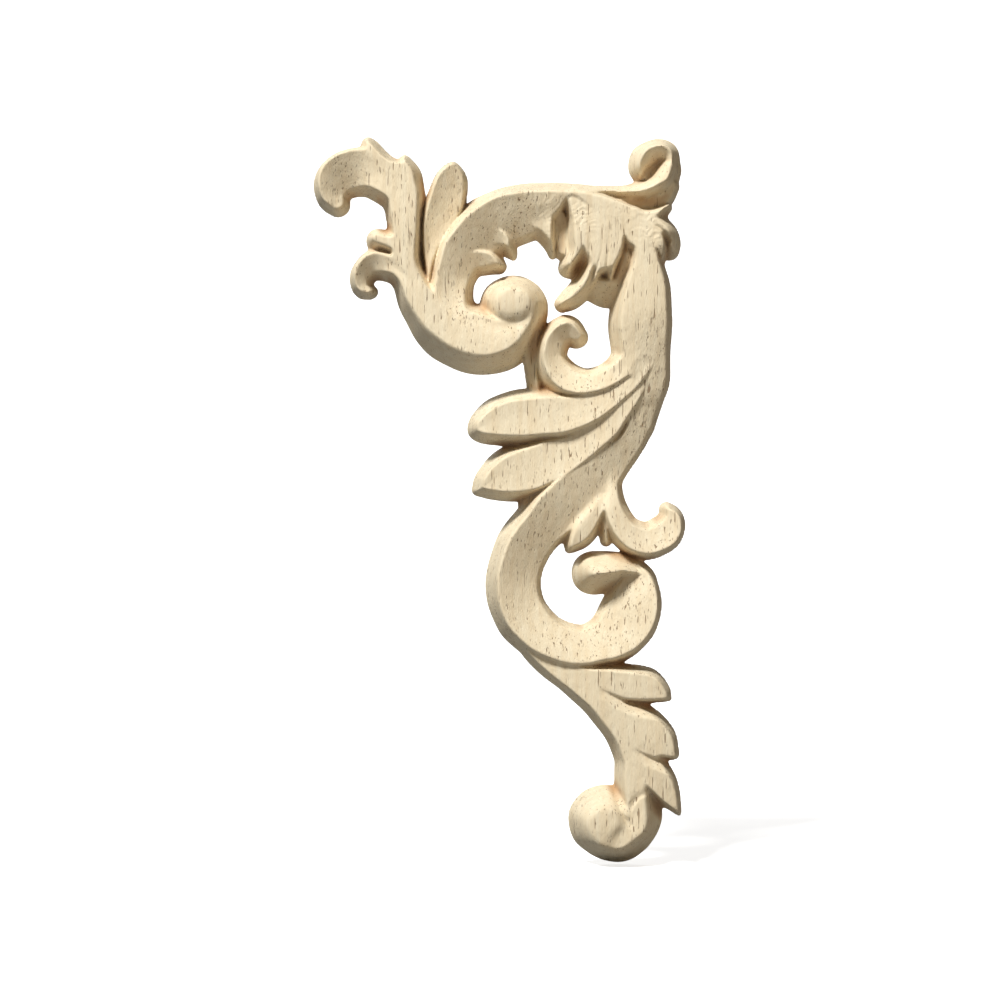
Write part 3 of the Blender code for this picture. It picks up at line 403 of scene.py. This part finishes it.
# Each station of a cut is x, z, how far it reaches to the left and to the right, and its depth where the
# board is whole. Its left side is straight and its right side hollow, and it fades out at a depth of 0.
CUTS = {
    "eye_ring": [(45.5, 151.5, 2.0, 2.0, 0.0), (48, 149.6, 2.4, 2.4, 0.35), (52.5, 148.2, 2.6, 2.8, 0.5),
                 (57, 148.7, 2.6, 2.6, 0.4), (60.2, 151.6, 2.0, 2.0, 0.0)],
    "finger_1_edge": [(75.6, 176, 0.4, 0.5, 0.0), (75.2, 171, 0.4, 0.6, 0.35), (75.0, 165.5, 0.6, 0.9, 1.0)],
    "finger_2_edge": [(78.6, 174, 0.4, 0.4, 0.0), (78.4, 169, 0.4, 0.4, 0.25), (77.6, 164, 0.4, 0.5, 0.4),
                      (76.4, 159, 0.4, 0.5, 0.0)],
    "finger_3_edge": [(80.6, 174, 0.4, 0.4, 0.0), (80.2, 169, 0.4, 0.5, 0.35), (79.8, 161, 0.6, 0.8, 1.0)],
    "finger_4_edge": [(82.9, 176, 0.4, 0.4, 0.0), (83.1, 172, 0.4, 0.4, 0.3), (83.4, 169, 0.4, 0.4, 0.0)],
    "stem_edge": [(84.4, 177, 0.4, 0.4, 0.0), (84.6, 172.5, 0.5, 0.6, 0.6), (85.0, 168, 0.8, 0.9, 1.4)],
    "tail_groove_1": [(96, 42.8, 3.2, 0.9, 2.4), (91.8, 43.8, 3.4, 0.8, 3.2), (86, 45.0, 3.2, 0.7, 2.2),
                      (81, 46.9, 2.6, 0.6, 1.0), (77.2, 48.9, 1.6, 0.5, 0.0)],
    "tail_groove_2": [(99.6, 27.0, 2.6, 0.9, 2.4), (96, 28.5, 3.0, 0.8, 2.8), (91.5, 30.0, 2.6, 0.7, 1.4),
                      (86.8, 32.6, 1.8, 0.5, 0.0)],
    "foot_notch": [(82.0, 21.0, 0.4, 1.2, 0.0), (82.9, 17.6, 0.5, 2.0, 1.2), (84.6, 13.8, 0.7, 2.2, 1.6),
                   (86.6, 10.6, 1.0, 2.0, 0.0)],
    "bowl_edge": [(86.0, 13.6, 0.8, 0.5, 0.0), (87.0, 17.0, 1.4, 0.5, 0.7), (89.5, 19.6, 1.8, 0.5, 0.6),
                  (93.0, 19.0, 2.0, 0.5, 0.0)],
}

# Each station of a row of gouge marks is x, z, half the row's width and the depth of its marks.
GOUGE_MARKS = {
    "arch_marks": [
        (50, 180.4, 1.6, 0.06), (58, 181.4, 3.0, 0.20), (64, 180.6, 3.4, 0.26), (69, 180.0, 3.6, 0.28),
        (73, 176.6, 4.2, 0.26), (76, 173.0, 3.2, 0.10)],
    "leaflet_marks": [(58, 178.0, 2.0, 0.08), (62.6, 176.4, 2.6, 0.24), (65, 171.6, 1.6, 0.18)],
    "shoulder_marks": [
        (79, 180.4, 2.4, 0.06), (84, 178.0, 3.4, 0.12), (88, 174.0, 3.2, 0.12), (90.6, 168.0, 2.4, 0.05)],
    "side_lobe_marks": [(89.4, 177.0, 2.4, 0.12), (92.2, 173.4, 3.4, 0.24), (94.0, 168.4, 2.8, 0.22)],
    "scroll_marks": [
        (23.4, 155, 1.6, 0.05), (26.8, 147.6, 2.8, 0.16), (31.6, 142.4, 3.0, 0.16),
        (38.5, 138.6, 2.0, 0.06)],
    "upper_leaf_marks": [(49, 127.4, 1.0, 0.05), (58, 129.8, 1.5, 0.14), (67, 130.0, 1.2, 0.08)],
    "band_marks": [(78.5, 183.0, 1.0, 0.10), (85, 182.2, 1.3, 0.24), (93, 183.6, 1.2, 0.16)],
    "tail_marks_1": [
        (96, 44.0, 1.6, 0.16), (90.6, 44.8, 1.9, 0.20), (84, 46.2, 1.6, 0.12), (79, 48.2, 1.0, 0.04)],
    "tail_marks_2": [(99, 28.6, 1.4, 0.16), (95, 29.8, 1.8, 0.20), (89, 32.2, 1.3, 0.08)],
    "low_scroll_marks": [
        (47.2, 92, 1.2, 0.06), (46.6, 82, 1.8, 0.14), (48.0, 71, 1.8, 0.12), (53.0, 62, 1.2, 0.05)],
}


def smooth_path(stations):
    """A Catmull-Rom curve through the stations, with a point about every PATH_STEP millimetres."""
    rows = np.array(stations, dtype=float)
    rows = np.vstack([2 * rows[0] - rows[1], rows, 2 * rows[-1] - rows[-2]])
    points = []
    for before, start, end, after in zip(rows, rows[1:], rows[2:], rows[3:]):
        count = max(2, round(math.dist(start[:2], end[:2]) / PATH_STEP))
        t = np.linspace(0.0, 1.0, count, endpoint=False)[:, None]
        points.append(0.5 * (2 * start + (end - before) * t
                             + (2 * before - 5 * start + 4 * end - after) * t**2
                             + (3 * start - before - 3 * end + after) * t**3))
    return np.vstack(points + [rows[-2]])


def blend_low(a, b, width):
    """The lower of two heights, rounded where they are within this width of each other."""
    mix = np.clip(0.5 + 0.5 * (b - a) / width, 0.0, 1.0)
    return b * (1 - mix) + a * mix - width * mix * (1 - mix)


def blend_high(a, b, width):
    """The higher of two heights, rounded in the same way."""
    return -blend_low(-a, -b, width)


def close_to(path, reach, x, z):
    """Which points lie in the path's own rectangle, widened by reach."""
    low, high = path[:, :2].min(axis=0) - reach, path[:, :2].max(axis=0) + reach
    return np.flatnonzero((x > low[0]) & (x < high[0]) & (z > low[1]) & (z < high[1]))


def along_path(path, half_widths, x, z):
    """The path's values beside each point, the way there from the path, its side and its depth inside."""
    ahead = np.gradient(path[:, :2], axis=0)
    ahead /= np.linalg.norm(ahead, axis=1)[:, None]
    right = np.column_stack([ahead[:, 1], -ahead[:, 0]])
    start, run = path[:-1], np.diff(path, axis=0)
    length = np.hypot(run[:, 0], run[:, 1])
    spread = np.clip(np.diff(half_widths) / length, -QUICKEST_SPREAD, QUICKEST_SPREAD)
    from_start = np.stack([x[:, None] - start[:, 0], z[:, None] - start[:, 1]], axis=2)
    along = (from_start * run[:, :2]).sum(axis=2) / length
    beside = np.sqrt(np.maximum((from_start**2).sum(axis=2) - along**2, 0.0))
    t = np.clip((along + beside * spread / np.sqrt(1 - spread**2)) / length, 0.0, 1.0)
    away = from_start - t[:, :, None] * run[:, :2]
    inside = half_widths[:-1] + t * np.diff(half_widths) - np.hypot(away[:, :, 0], away[:, :, 1])
    # the segment that this point lies deepest inside
    row = np.arange(len(x))
    near = inside.argmax(axis=1)
    t, away = t[row, near][:, None], away[row, near]
    side = (away * (right[near] + t * (right[near + 1] - right[near]))).sum(axis=1)
    return start[near] + t * run[near], away, side, inside[row, near]


def between(pair, share):
    """A value on the way from the pair's left one to its right one."""
    return pair[0] * (1 - share) + pair[1] * share


def surface_heights(surface, x, z):
    """Height of one surface: its lobes run into one another, and walls stand round them all."""
    sums = np.zeros((5, len(x)))
    for lobe in surface.lobes.values():
        path = smooth_path(lobe.stations)
        near = close_to(path, path[:, 2].max() + OUTER_REACH, x, z)
        station, away, side, inside = along_path(path, path[:, 2], x[near], z[near])
        share = (1 + np.clip(side / station[:, 2], -1.0, 1.0)) / 2
        dome = lobe.crown * np.maximum(1 - (away**2).sum(axis=1) / station[:, 2] ** 2, 0.0)
        face = between((station[:, 3], station[:, 4]), share) + dome
        parts = [np.ones(len(near)), face, between(lobe.drafts, share), between(lobe.shoulders, share)]
        sums[:4, near] += np.exp(inside / surface.flow) * np.array(parts)
        sums[4, near] += np.exp(inside / JOIN)
    heights = np.full(len(x), CUT_THROUGH)
    covered = sums[0] > 0
    weight, face, draft, shoulder, joined = sums[:, covered]
    wall = JOIN * np.log(joined) / (draft / weight)
    heights[covered] = np.maximum(blend_low(face / weight, wall, shoulder / weight), CUT_THROUGH)
    return heights


def cut_shares(path, x, z):
    """The share of the height that one cut takes away at each point."""
    station, away, side, inside = along_path(path, np.zeros(len(path)), x, z)
    width = np.where(side < 0, station[:, 2], station[:, 3])
    left_over = np.clip(1 + inside / width, 0.0, 1.0)
    return station[:, 4] / BOARD * np.where(side < 0, left_over, left_over**2)


def carved_heights(x, z):
    """Height of the carving over the back at each point, in millimetres; below zero is cut away."""
    heights = np.full(len(x), CUT_THROUGH)
    for surface in SURFACES.values():
        heights = blend_high(heights, surface_heights(surface, x, z), surface.melt)
    for stations in CUTS.values():
        path = smooth_path(stations)
        near = close_to(path, path[:, 2:4].max(), x, z)
        shares = cut_shares(path, x[near], z[near])
        heights[near] *= np.where(heights[near] > 0, 1 - shares, 1)
    return heights


def softened(heights):
    """Each height moved half way to the mean of its four neighbours on the grid."""
    wide = np.pad(heights, 1, mode="edge")
    return (heights + (wide[:-2, 1:-1] + wide[2:, 1:-1] + wide[1:-1, :-2] + wide[1:-1, 2:]) / 4) / 2


def unevenness(x, z, wave, seed):
    """A smooth random value between about -1 and 1 at each point, with bumps about this far apart."""
    chance = np.random.default_rng(seed)
    total = np.zeros(len(x))
    for _ in range(WAVES):
        angle, phase = chance.uniform(0, 2 * math.pi, 2)
        turn = 2 * math.pi / (wave * chance.uniform(SHORTEST_WAVE, LONGEST_WAVE))
        total += np.sin(turn * (x * math.cos(angle) + z * math.sin(angle)) + phase)
    return total / WAVES ** 0.5


def gouge_depths(x, z):
    """How deep the gouge marks are at each point: shallow hollows side by side along each row."""
    depths = np.zeros(len(x))
    for seed, stations in enumerate(GOUGE_MARKS.values(), FIRST_MARK_SEED):
        path = smooth_path(stations)
        steps = np.hypot(*np.diff(path[:, :2], axis=0).T)
        path = np.column_stack([path, np.concatenate([[0.0], np.cumsum(steps)])])
        near = close_to(path, path[:, 2].max(), x, z)
        station, away, side, inside = along_path(path, path[:, 2], x[near], z[near])
        wander = MARK_WANDER * unevenness(x[near], z[near], MARK_WANDER_LENGTH, seed)
        place = station[:, 4] + MARK_SLANT * side + wander
        hollow = 1 - np.abs(np.sin(math.pi * place / MARK_SPACING))
        depths[near] += station[:, 3] * hollow * np.clip(2 * inside / station[:, 2], 0.0, 1.0)
    return depths


def hand_carved_heights(x, z):
    """The carving as a hand leaves it: its lines waver, and its faces have small dents and gouge marks."""
    wavering_x, wavering_z = (
        line + WAVER * unevenness(x, z, WAVER_LENGTH, seed) for line, seed in zip((x, z), WAVER_SEEDS))
    heights = carved_heights(wavering_x, wavering_z)
    lengths = (DENT_LENGTH, BROAD_DENTS * DENT_LENGTH)
    dents = DENTS * sum(unevenness(x, z, length, seed) for length, seed in zip(lengths, DENT_SEEDS))
    return heights + np.clip(heights / TRACES_FADE, 0.0, 1.0) * (dents - gouge_depths(x, z))


def painted_shade_mask(heights, spacing):
    """Painted shade mask, 0 to 1: how deep each grid point lies between higher wood on opposite sides."""
    reach = round(HOLLOW_REACH / spacing)
    wide = np.pad(np.maximum(heights, 0.0), reach)
    rows, columns = heights.shape
    rim = np.zeros_like(heights)
    for down, right in ((0, 1), (1, 0), (1, 1), (1, -1)):
        sides = []
        for sign in (-1, 1):
            highest = np.zeros_like(heights)
            for step in range(1, reach + 1, HOLLOW_STRIDE):
                top, left = reach + sign * step * down, reach + sign * step * right
                highest = np.maximum(highest, wide[top:top + rows, left:left + columns])
            sides.append(highest)
        rim = np.maximum(rim, np.minimum(*sides))
    return softened(softened(np.clip((rim - heights - HOLLOW_START) / HOLLOW_DEPTH, 0.0, 1.0)))


def carved_front(spacing):
    """The carved front on a grid with this spacing in millimetres, with painted shade by how hollow each
    point lies.
    """
    width, height = PANEL_WIDTH + 2 * MARGIN, PANEL_HEIGHT + 2 * MARGIN
    columns, rows = round(width / spacing) + 1, round(height / spacing) + 1
    x, z = np.meshgrid(np.linspace(-MARGIN, PANEL_WIDTH + MARGIN, columns),
                       np.linspace(-MARGIN, PANEL_HEIGHT + MARGIN, rows))
    heights = softened(hand_carved_heights(x.ravel(), z.ravel()).reshape(x.shape))
    # painted shade: how hollow each point lies, stored on the mesh to darken the wood there
    hollow = painted_shade_mask(heights, spacing).ravel()
    heights = heights.ravel()

    corner = np.arange(rows * columns).reshape(rows, columns)
    corners = (corner[:-1, :-1], corner[:-1, 1:], corner[1:, 1:], corner[1:, :-1])
    squares = np.stack(corners, axis=2).reshape(-1, 4)
    kept = heights > CUT_THROUGH / 2
    squares = squares[kept[squares].all(axis=1)]

    front = bmesh.new()
    layer = front.verts.layers.float.new("hollow")
    places = np.column_stack([x.ravel() - ORIGIN_X, -heights, z.ravel() - ORIGIN_Z]) * MM
    verts = {}
    for index in np.unique(squares):
        vert = front.verts.new(places[index])
        vert[layer] = hollow[index]
        verts[index] = vert
    for square in squares:
        front.faces.new([verts[index] for index in square])
    return front


def closed_onlay(front):
    """Cuts the front off at the back plane and closes it with a flat back, which has no painted shade."""
    bmesh.ops.bisect_plane(front, geom=front.verts[:] + front.edges[:] + front.faces[:],
                           plane_co=(0, 0, 0), plane_no=(0, 1, 0), clear_outer=True)
    bmesh.ops.triangulate(front, faces=front.faces[:])
    rims = [edge for edge in front.edges if edge.is_boundary]
    layer = front.verts.layers.float["hollow"]
    for edge in rims:
        for vert in edge.verts:
            vert.co.y = 0.0
            vert[layer] = 0.0
    bmesh.ops.triangle_fill(front, edges=rims, use_beauty=True, normal=(0, 1, 0))
    bmesh.ops.recalc_face_normals(front, faces=front.faces[:])
    return front


class CarvingSettings(bpy.types.PropertyGroup):
    """Sizes of the carved mesh"""
    grid: FloatProperty(
        name="Grid", description="Distance between the points of the carved front", default=0.00034,
        min=0.00025, max=0.002, precision=5, unit="LENGTH")


class WoodSettings(bpy.types.PropertyGroup):
    """Colours and finish of the wood"""
    pale: FloatVectorProperty(
        name="Pale wood", description="Colour of the palest wood", subtype="COLOR", size=3,
        default=(0.83, 0.74, 0.55), min=0, max=1)
    warm: FloatVectorProperty(
        name="Warm wood", description="Colour of the darker streaks of the grain", subtype="COLOR", size=3,
        default=(0.72, 0.58, 0.375), min=0, max=1)
    pore: FloatVectorProperty(
        name="Pores", description="Colour of the open pores", subtype="COLOR", size=3,
        default=(0.24, 0.14, 0.07), min=0, max=1)
    # Painted shade: the colour that the hollows are darkened to, in place of the shade that falls in them
    deep: FloatVectorProperty(
        name="Hollows", description="Colour of the wood deep in the hollows", subtype="COLOR", size=3,
        default=(0.47, 0.27, 0.12), min=0, max=1)
    roughness: FloatProperty(
        name="Roughness", description="Roughness of the sanded wood", default=0.68, min=0, max=1,
        subtype="FACTOR")


class StageSettings(bpy.types.PropertyGroup):
    """The studio around the onlay"""
    floor: FloatVectorProperty(
        name="Floor", description="Colour of the floor and backdrop", subtype="COLOR", size=3,
        default=(0.93, 0.93, 0.93), min=0, max=1)
    key: FloatProperty(
        name="Key light", description="Power of the soft light at the upper left", default=58.0, min=0,
        unit="POWER")
    fill: FloatProperty(
        name="Fill light", description="Power of the warm light at the right", default=1.2, min=0,
        unit="POWER")
    world: FloatProperty(
        name="Surrounding light", description="Strength of the even light from all sides", default=0.08,
        min=0)
    behind: FloatProperty(
        name="Light behind", description="Power of the light that shows the back", default=1.5, min=0,
        unit="POWER")
    lens: FloatProperty(
        name="Lens", description="Focal length of the camera", default=100.0, min=20, max=300,
        unit="CAMERA")
    distance: FloatProperty(
        name="Camera distance", description="From the camera to the onlay's back", default=0.765, min=0.2,
        max=5, unit="LENGTH")


def new_group(name, inputs, outputs):
    """An empty shader node group with these named sockets, and its input and output nodes."""
    group = bpy.data.node_groups.new(name, "ShaderNodeTree")
    for direction, sockets in (("INPUT", inputs), ("OUTPUT", outputs)):
        for label, kind, value in sockets:
            socket = group.interface.new_socket(
                name=label, in_out=direction, socket_type="NodeSocket" + kind)
            if value is not None:
                socket.default_value = value
    return group, group.nodes.new("NodeGroupInput"), group.nodes.new("NodeGroupOutput")


def set_inputs(tree, node, inputs):
    """Gives each of these inputs a plain value, or a link from another socket."""
    for name, value in inputs.items():
        if isinstance(value, bpy.types.NodeSocket):
            tree.links.new(value, node.inputs[name])
        else:
            node.inputs[name].default_value = value


def add(tree, kind, inputs=None, **settings):
    """A new node with these settings and inputs."""
    node = tree.nodes.new("ShaderNode" + kind)
    for name, value in settings.items():
        setattr(node, name, value)
    set_inputs(tree, node, inputs or {})
    return node


def computed(tree, operation, *values):
    """The result of one Math node on sockets and plain numbers."""
    return add(tree, "Math", dict(enumerate(values)), operation=operation).outputs["Value"]


def opaque(colour):
    """A plain colour with its alpha."""
    return (*colour, 1)


def mixed(tree, factor, base, other, blend="MIX"):
    """A mix of two colours, each a socket or a plain colour with its alpha."""
    inputs = {"Factor": factor, COLOUR_A: base, COLOUR_B: other}
    return add(tree, "Mix", inputs, data_type="RGBA", blend_type=blend).outputs[COLOUR_RESULT]


def stretched_noise(tree, place, scale, inputs, shift=(0, 0, 0)):
    """Noise that is stretched along the board by the scales of its place."""
    stretch = add(tree, "Mapping", {"Vector": place, "Scale": scale, "Location": shift})
    noise = add(tree, "TexNoise", {"Vector": stretch.outputs["Vector"], "Scale": 1.0, **inputs})
    return noise.outputs["Fac"]


def grain_group():
    """Long streaks of pale and warm wood that run up the board, and the fine fibres in them."""
    tree, source, result = new_group(
        "Board grain", [("Place", "Vector", None)],
        [("Streak", "Float", None), ("Fibre", "Float", None)])
    place = source.outputs["Place"]
    streaks = stretched_noise(
        tree, place, STREAK_SCALE, {"Detail": 5.0, "Roughness": 0.62, "Distortion": 0.25})
    fibres = stretched_noise(tree, place, FIBRE_SCALE, {"Detail": 3.0, "Roughness": 0.6})
    for noise, name in ((streaks, "Streak"), (fibres, "Fibre")):
        spread = add(tree, "MapRange", {"Value": noise, "From Min": NOISE_LOW, "From Max": NOISE_HIGH})
        tree.links.new(spread.outputs["Result"], result.inputs[name])
    return tree


def pore_group():
    """Short dark pores that follow the grain, as a mask that is 1 inside a pore, denser in some places."""
    tree, source, result = new_group(
        "Board pores", [("Place", "Vector", None), ("Amount", "Float", 0.5)], [("Pore", "Float", None)])
    place = source.outputs["Place"]
    crowd = stretched_noise(tree, place, CROWD_SCALE, {"Detail": 1.0})
    masks = []
    for across, along, low, high in PORE_KINDS:
        noise = stretched_noise(
            tree, place, (across, across, along), {"Detail": 1.5, "Roughness": 0.5}, (across, 0.0, along))
        crowded = computed(tree, "MULTIPLY_ADD", crowd, CROWDING, noise)
        mask = add(tree, "MapRange", {"Value": crowded, "From Min": low, "From Max": high},
                   interpolation_type="SMOOTHSTEP")
        masks.append(mask.outputs["Result"])
    pores = computed(tree, "MULTIPLY", computed(tree, "MAXIMUM", *masks), source.outputs["Amount"])
    tree.links.new(pores, result.inputs["Pore"])
    return tree


def carved_wood(settings):
    """Pale unfinished hardwood: streaky grain up the board, open pores, and painted shade in the hollows."""
    material = bpy.data.materials.new("carved_wood")
    material.use_nodes = True
    tree = material.node_tree
    place = add(tree, "TexCoord").outputs["Object"]
    in_mm = add(tree, "Mapping", {"Vector": place, "Scale": (1 / MM,) * 3}).outputs["Vector"]
    grain = add(tree, "Group", {"Place": in_mm}, node_tree=grain_group()).outputs
    pores = add(tree, "Group", {"Place": in_mm, "Amount": PORE_TINT}, node_tree=pore_group()).outputs
    # the painted shade mask that the carving stored on the mesh
    hollow = add(tree, "Attribute", attribute_name="hollow", attribute_type="GEOMETRY").outputs

    streak = computed(tree, "MULTIPLY", grain["Streak"], STREAK_TINT)
    fibre = computed(tree, "MULTIPLY", grain["Fibre"], FIBRE_TINT)
    wood = mixed(tree, streak, opaque(settings.pale), opaque(settings.warm))
    wood = mixed(tree, fibre, wood, opaque(settings.warm), "MULTIPLY")
    # painted shade: the hollows are mixed towards the dark hollow colour
    wood = mixed(tree, hollow["Fac"], wood, opaque(settings.deep))
    wood = mixed(tree, pores["Pore"], wood, opaque(settings.pore))

    roughness = add(tree, "MapRange", {
        "Value": grain["Streak"],
        "To Min": settings.roughness - SMOOTHER,
        "To Max": settings.roughness + ROUGHER,
    })
    fuzz = stretched_noise(tree, in_mm, FUZZ_SCALE, {"Detail": 4.0, "Roughness": 0.6})
    fibrous = computed(tree, "ADD", fuzz, fibre)
    relief = computed(tree, "MULTIPLY_ADD", pores["Pore"], PORE_SINK, fibrous)
    bump = add(tree, "Bump", {"Strength": BUMP_STRENGTH, "Distance": BUMP_HEIGHT, "Height": relief})
    set_inputs(tree, tree.nodes["Principled BSDF"], {
        "Base Color": wood,
        "Metallic": 0.0,
        "Roughness": roughness.outputs["Result"],
        "IOR": 1.45,
        "Normal": bump.outputs["Normal"],
    })
    return material


def paper_white(colour):
    """Matt white paper for the floor and the backdrop."""
    material = bpy.data.materials.new("studio_paper")
    material.use_nodes = True
    tree = material.node_tree
    place = add(tree, "TexCoord").outputs["Object"]
    tone = add(tree, "TexNoise", {"Vector": place, "Scale": 3.0, "Detail": 2.0}).outputs["Fac"]
    paper = mixed(tree, tone, opaque(colour), opaque(PAPER_SHADE * value for value in colour))
    seen = add(tree, "LightPath").outputs["Is Camera Ray"]
    set_inputs(tree, tree.nodes["Principled BSDF"], {
        "Base Color": mixed(tree, seen, opaque((PAPER_BOUNCE,) * 3), paper),
        "Roughness": PAPER_ROUGHNESS,
        "Emission Color": opaque((1, 1, 1)),
        "Emission Strength": computed(tree, "MULTIPLY", seen, PAPER_GLOW),
    })
    return material


def linked(scene, name, data):
    """A new object with this data, in the scene."""
    item = bpy.data.objects.new(name, data)
    scene.collection.objects.link(item)
    return item


def smooth_object(scene, name, form, material):
    """A smooth object made from a bmesh, which is freed."""
    mesh = bpy.data.meshes.new(name)
    form.to_mesh(mesh)
    form.free()
    mesh.shade_smooth()
    mesh.materials.append(material)
    return linked(scene, name, mesh)


def paper_sweep(scene, floor_z, colour):
    """A floor that curves up into a backdrop well behind the onlay."""
    bend_y = SWEEP_BACK - SWEEP_BEND
    profile = [(SWEEP_FRONT, floor_z), (bend_y, floor_z)]
    for step in range(1, BEND_STEPS + 1):
        angle = math.pi / 2 * step / BEND_STEPS
        bend_z = floor_z + SWEEP_BEND * (1 - math.cos(angle))
        profile.append((bend_y + SWEEP_BEND * math.sin(angle), bend_z))
    profile.append((SWEEP_BACK, floor_z + SWEEP_RISE))

    sweep = bmesh.new()
    edges = (-SWEEP_HALF_WIDTH, SWEEP_HALF_WIDTH)
    left, right = ([sweep.verts.new((x, y, z)) for y, z in profile] for x in edges)
    for near in range(len(profile) - 1):
        far = near + 1
        sweep.faces.new((left[near], right[near], right[far], left[far]))
    smooth_object(scene, "paper_sweep", sweep, paper_white(colour))


def aimed(scene, name, data, place, target):
    """A light or camera at a place, turned towards a target."""
    holder = linked(scene, name, data)
    holder.location = place
    holder.rotation_euler = (Vector(target) - Vector(place)).to_track_quat("-Z", "Y").to_euler()
    return holder


def round_light(scene, name, power, light, middle):
    """A round area light at its place from the middle of the onlay, aimed at it."""
    lamp = bpy.data.lights.new(name, "AREA")
    lamp.energy = power
    lamp.shape = "DISK"
    lamp.size = light.size
    lamp.color = light.colour
    return aimed(scene, name, lamp, middle + Vector(light.place), middle)


class ONLAY_OT_carve(bpy.types.Operator):
    """Carve the onlay in fine relief and give it its wood"""
    bl_idname = "onlay.carve"
    bl_label = "Carve Onlay"

    def execute(self, context):
        scene = context.scene
        form = closed_onlay(carved_front(scene.onlay_carving.grid / MM))
        onlay = smooth_object(scene, "carved_onlay", form, carved_wood(scene.onlay_wood))
        onlay.data.set_sharp_from_angle(angle=SHARP_ANGLE)
        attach(onlay, "root")
        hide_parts("corner_onlay")
        return {"FINISHED"}


class ONLAY_OT_stage(bpy.types.Operator):
    """Set the floor, the lights and the camera around the onlay"""
    bl_idname = "onlay.stage"
    bl_label = "Set Stage"

    def execute(self, context):
        scene = context.scene
        stage = scene.onlay_stage
        low, high = CAD_BOX
        middle = Vector(((low.x + high.x) / 2, 0.0, (low.z + high.z) / 2))
        paper_sweep(scene, low.z - SWEEP_GAP, stage.floor)

        round_light(scene, "key_light", stage.key, KEY_LIGHT, middle)
        round_light(scene, "fill_light", stage.fill, FILL_LIGHT, middle)
        behind = round_light(scene, "back_light", stage.behind, BACK_LIGHT, middle)
        behind.visible_camera = False

        world = bpy.data.worlds.new("studio_air")
        world.use_nodes = True
        air = {"Color": opaque(AIR_COLOUR), "Strength": stage.world}
        set_inputs(world.node_tree, world.node_tree.nodes["Background"], air)
        scene.world = world

        camera = bpy.data.cameras.new("camera")
        camera.lens = stage.lens
        camera.sensor_width = SENSOR_WIDTH
        in_front = middle - Vector((0.0, stage.distance, 0.0))
        scene.camera = aimed(scene, "camera", camera, in_front, middle)
        scene.view_settings.view_transform = "Standard"
        return {"FINISHED"}


class ONLAY_PT_panel(bpy.types.Panel):
    """Settings of the carved corner onlay"""
    bl_idname = "ONLAY_PT_panel"
    bl_label = "Corner Onlay"
    bl_space_type = "VIEW_3D"
    bl_region_type = "UI"
    bl_category = "Corner Onlay"

    def draw(self, context):
        scene = context.scene
        for settings, operator in ((scene.onlay_carving, None), (scene.onlay_wood, "onlay.carve"),
                                   (scene.onlay_stage, "onlay.stage")):
            box = self.layout.box()
            for name in settings.__annotations__:
                box.prop(settings, name)
            if operator:
                box.operator(operator)


CLASSES = (CarvingSettings, WoodSettings, StageSettings, ONLAY_OT_carve, ONLAY_OT_stage, ONLAY_PT_panel)


def register():
    """Registers the classes and gives each scene their settings."""
    for cls in CLASSES:
        bpy.utils.register_class(cls)
    bpy.types.Scene.onlay_carving = PointerProperty(type=CarvingSettings)
    bpy.types.Scene.onlay_wood = PointerProperty(type=WoodSettings)
    bpy.types.Scene.onlay_stage = PointerProperty(type=StageSettings)


def unregister():
    """Takes the settings and the classes out again."""
    for name in ("onlay_carving", "onlay_wood", "onlay_stage"):
        delattr(bpy.types.Scene, name)
    for cls in reversed(CLASSES):
        bpy.utils.unregister_class(cls)


def main():
    """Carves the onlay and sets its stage."""
    register()
    bpy.ops.onlay.carve()
    bpy.ops.onlay.stage()


if __name__ == "__main__":
    main()
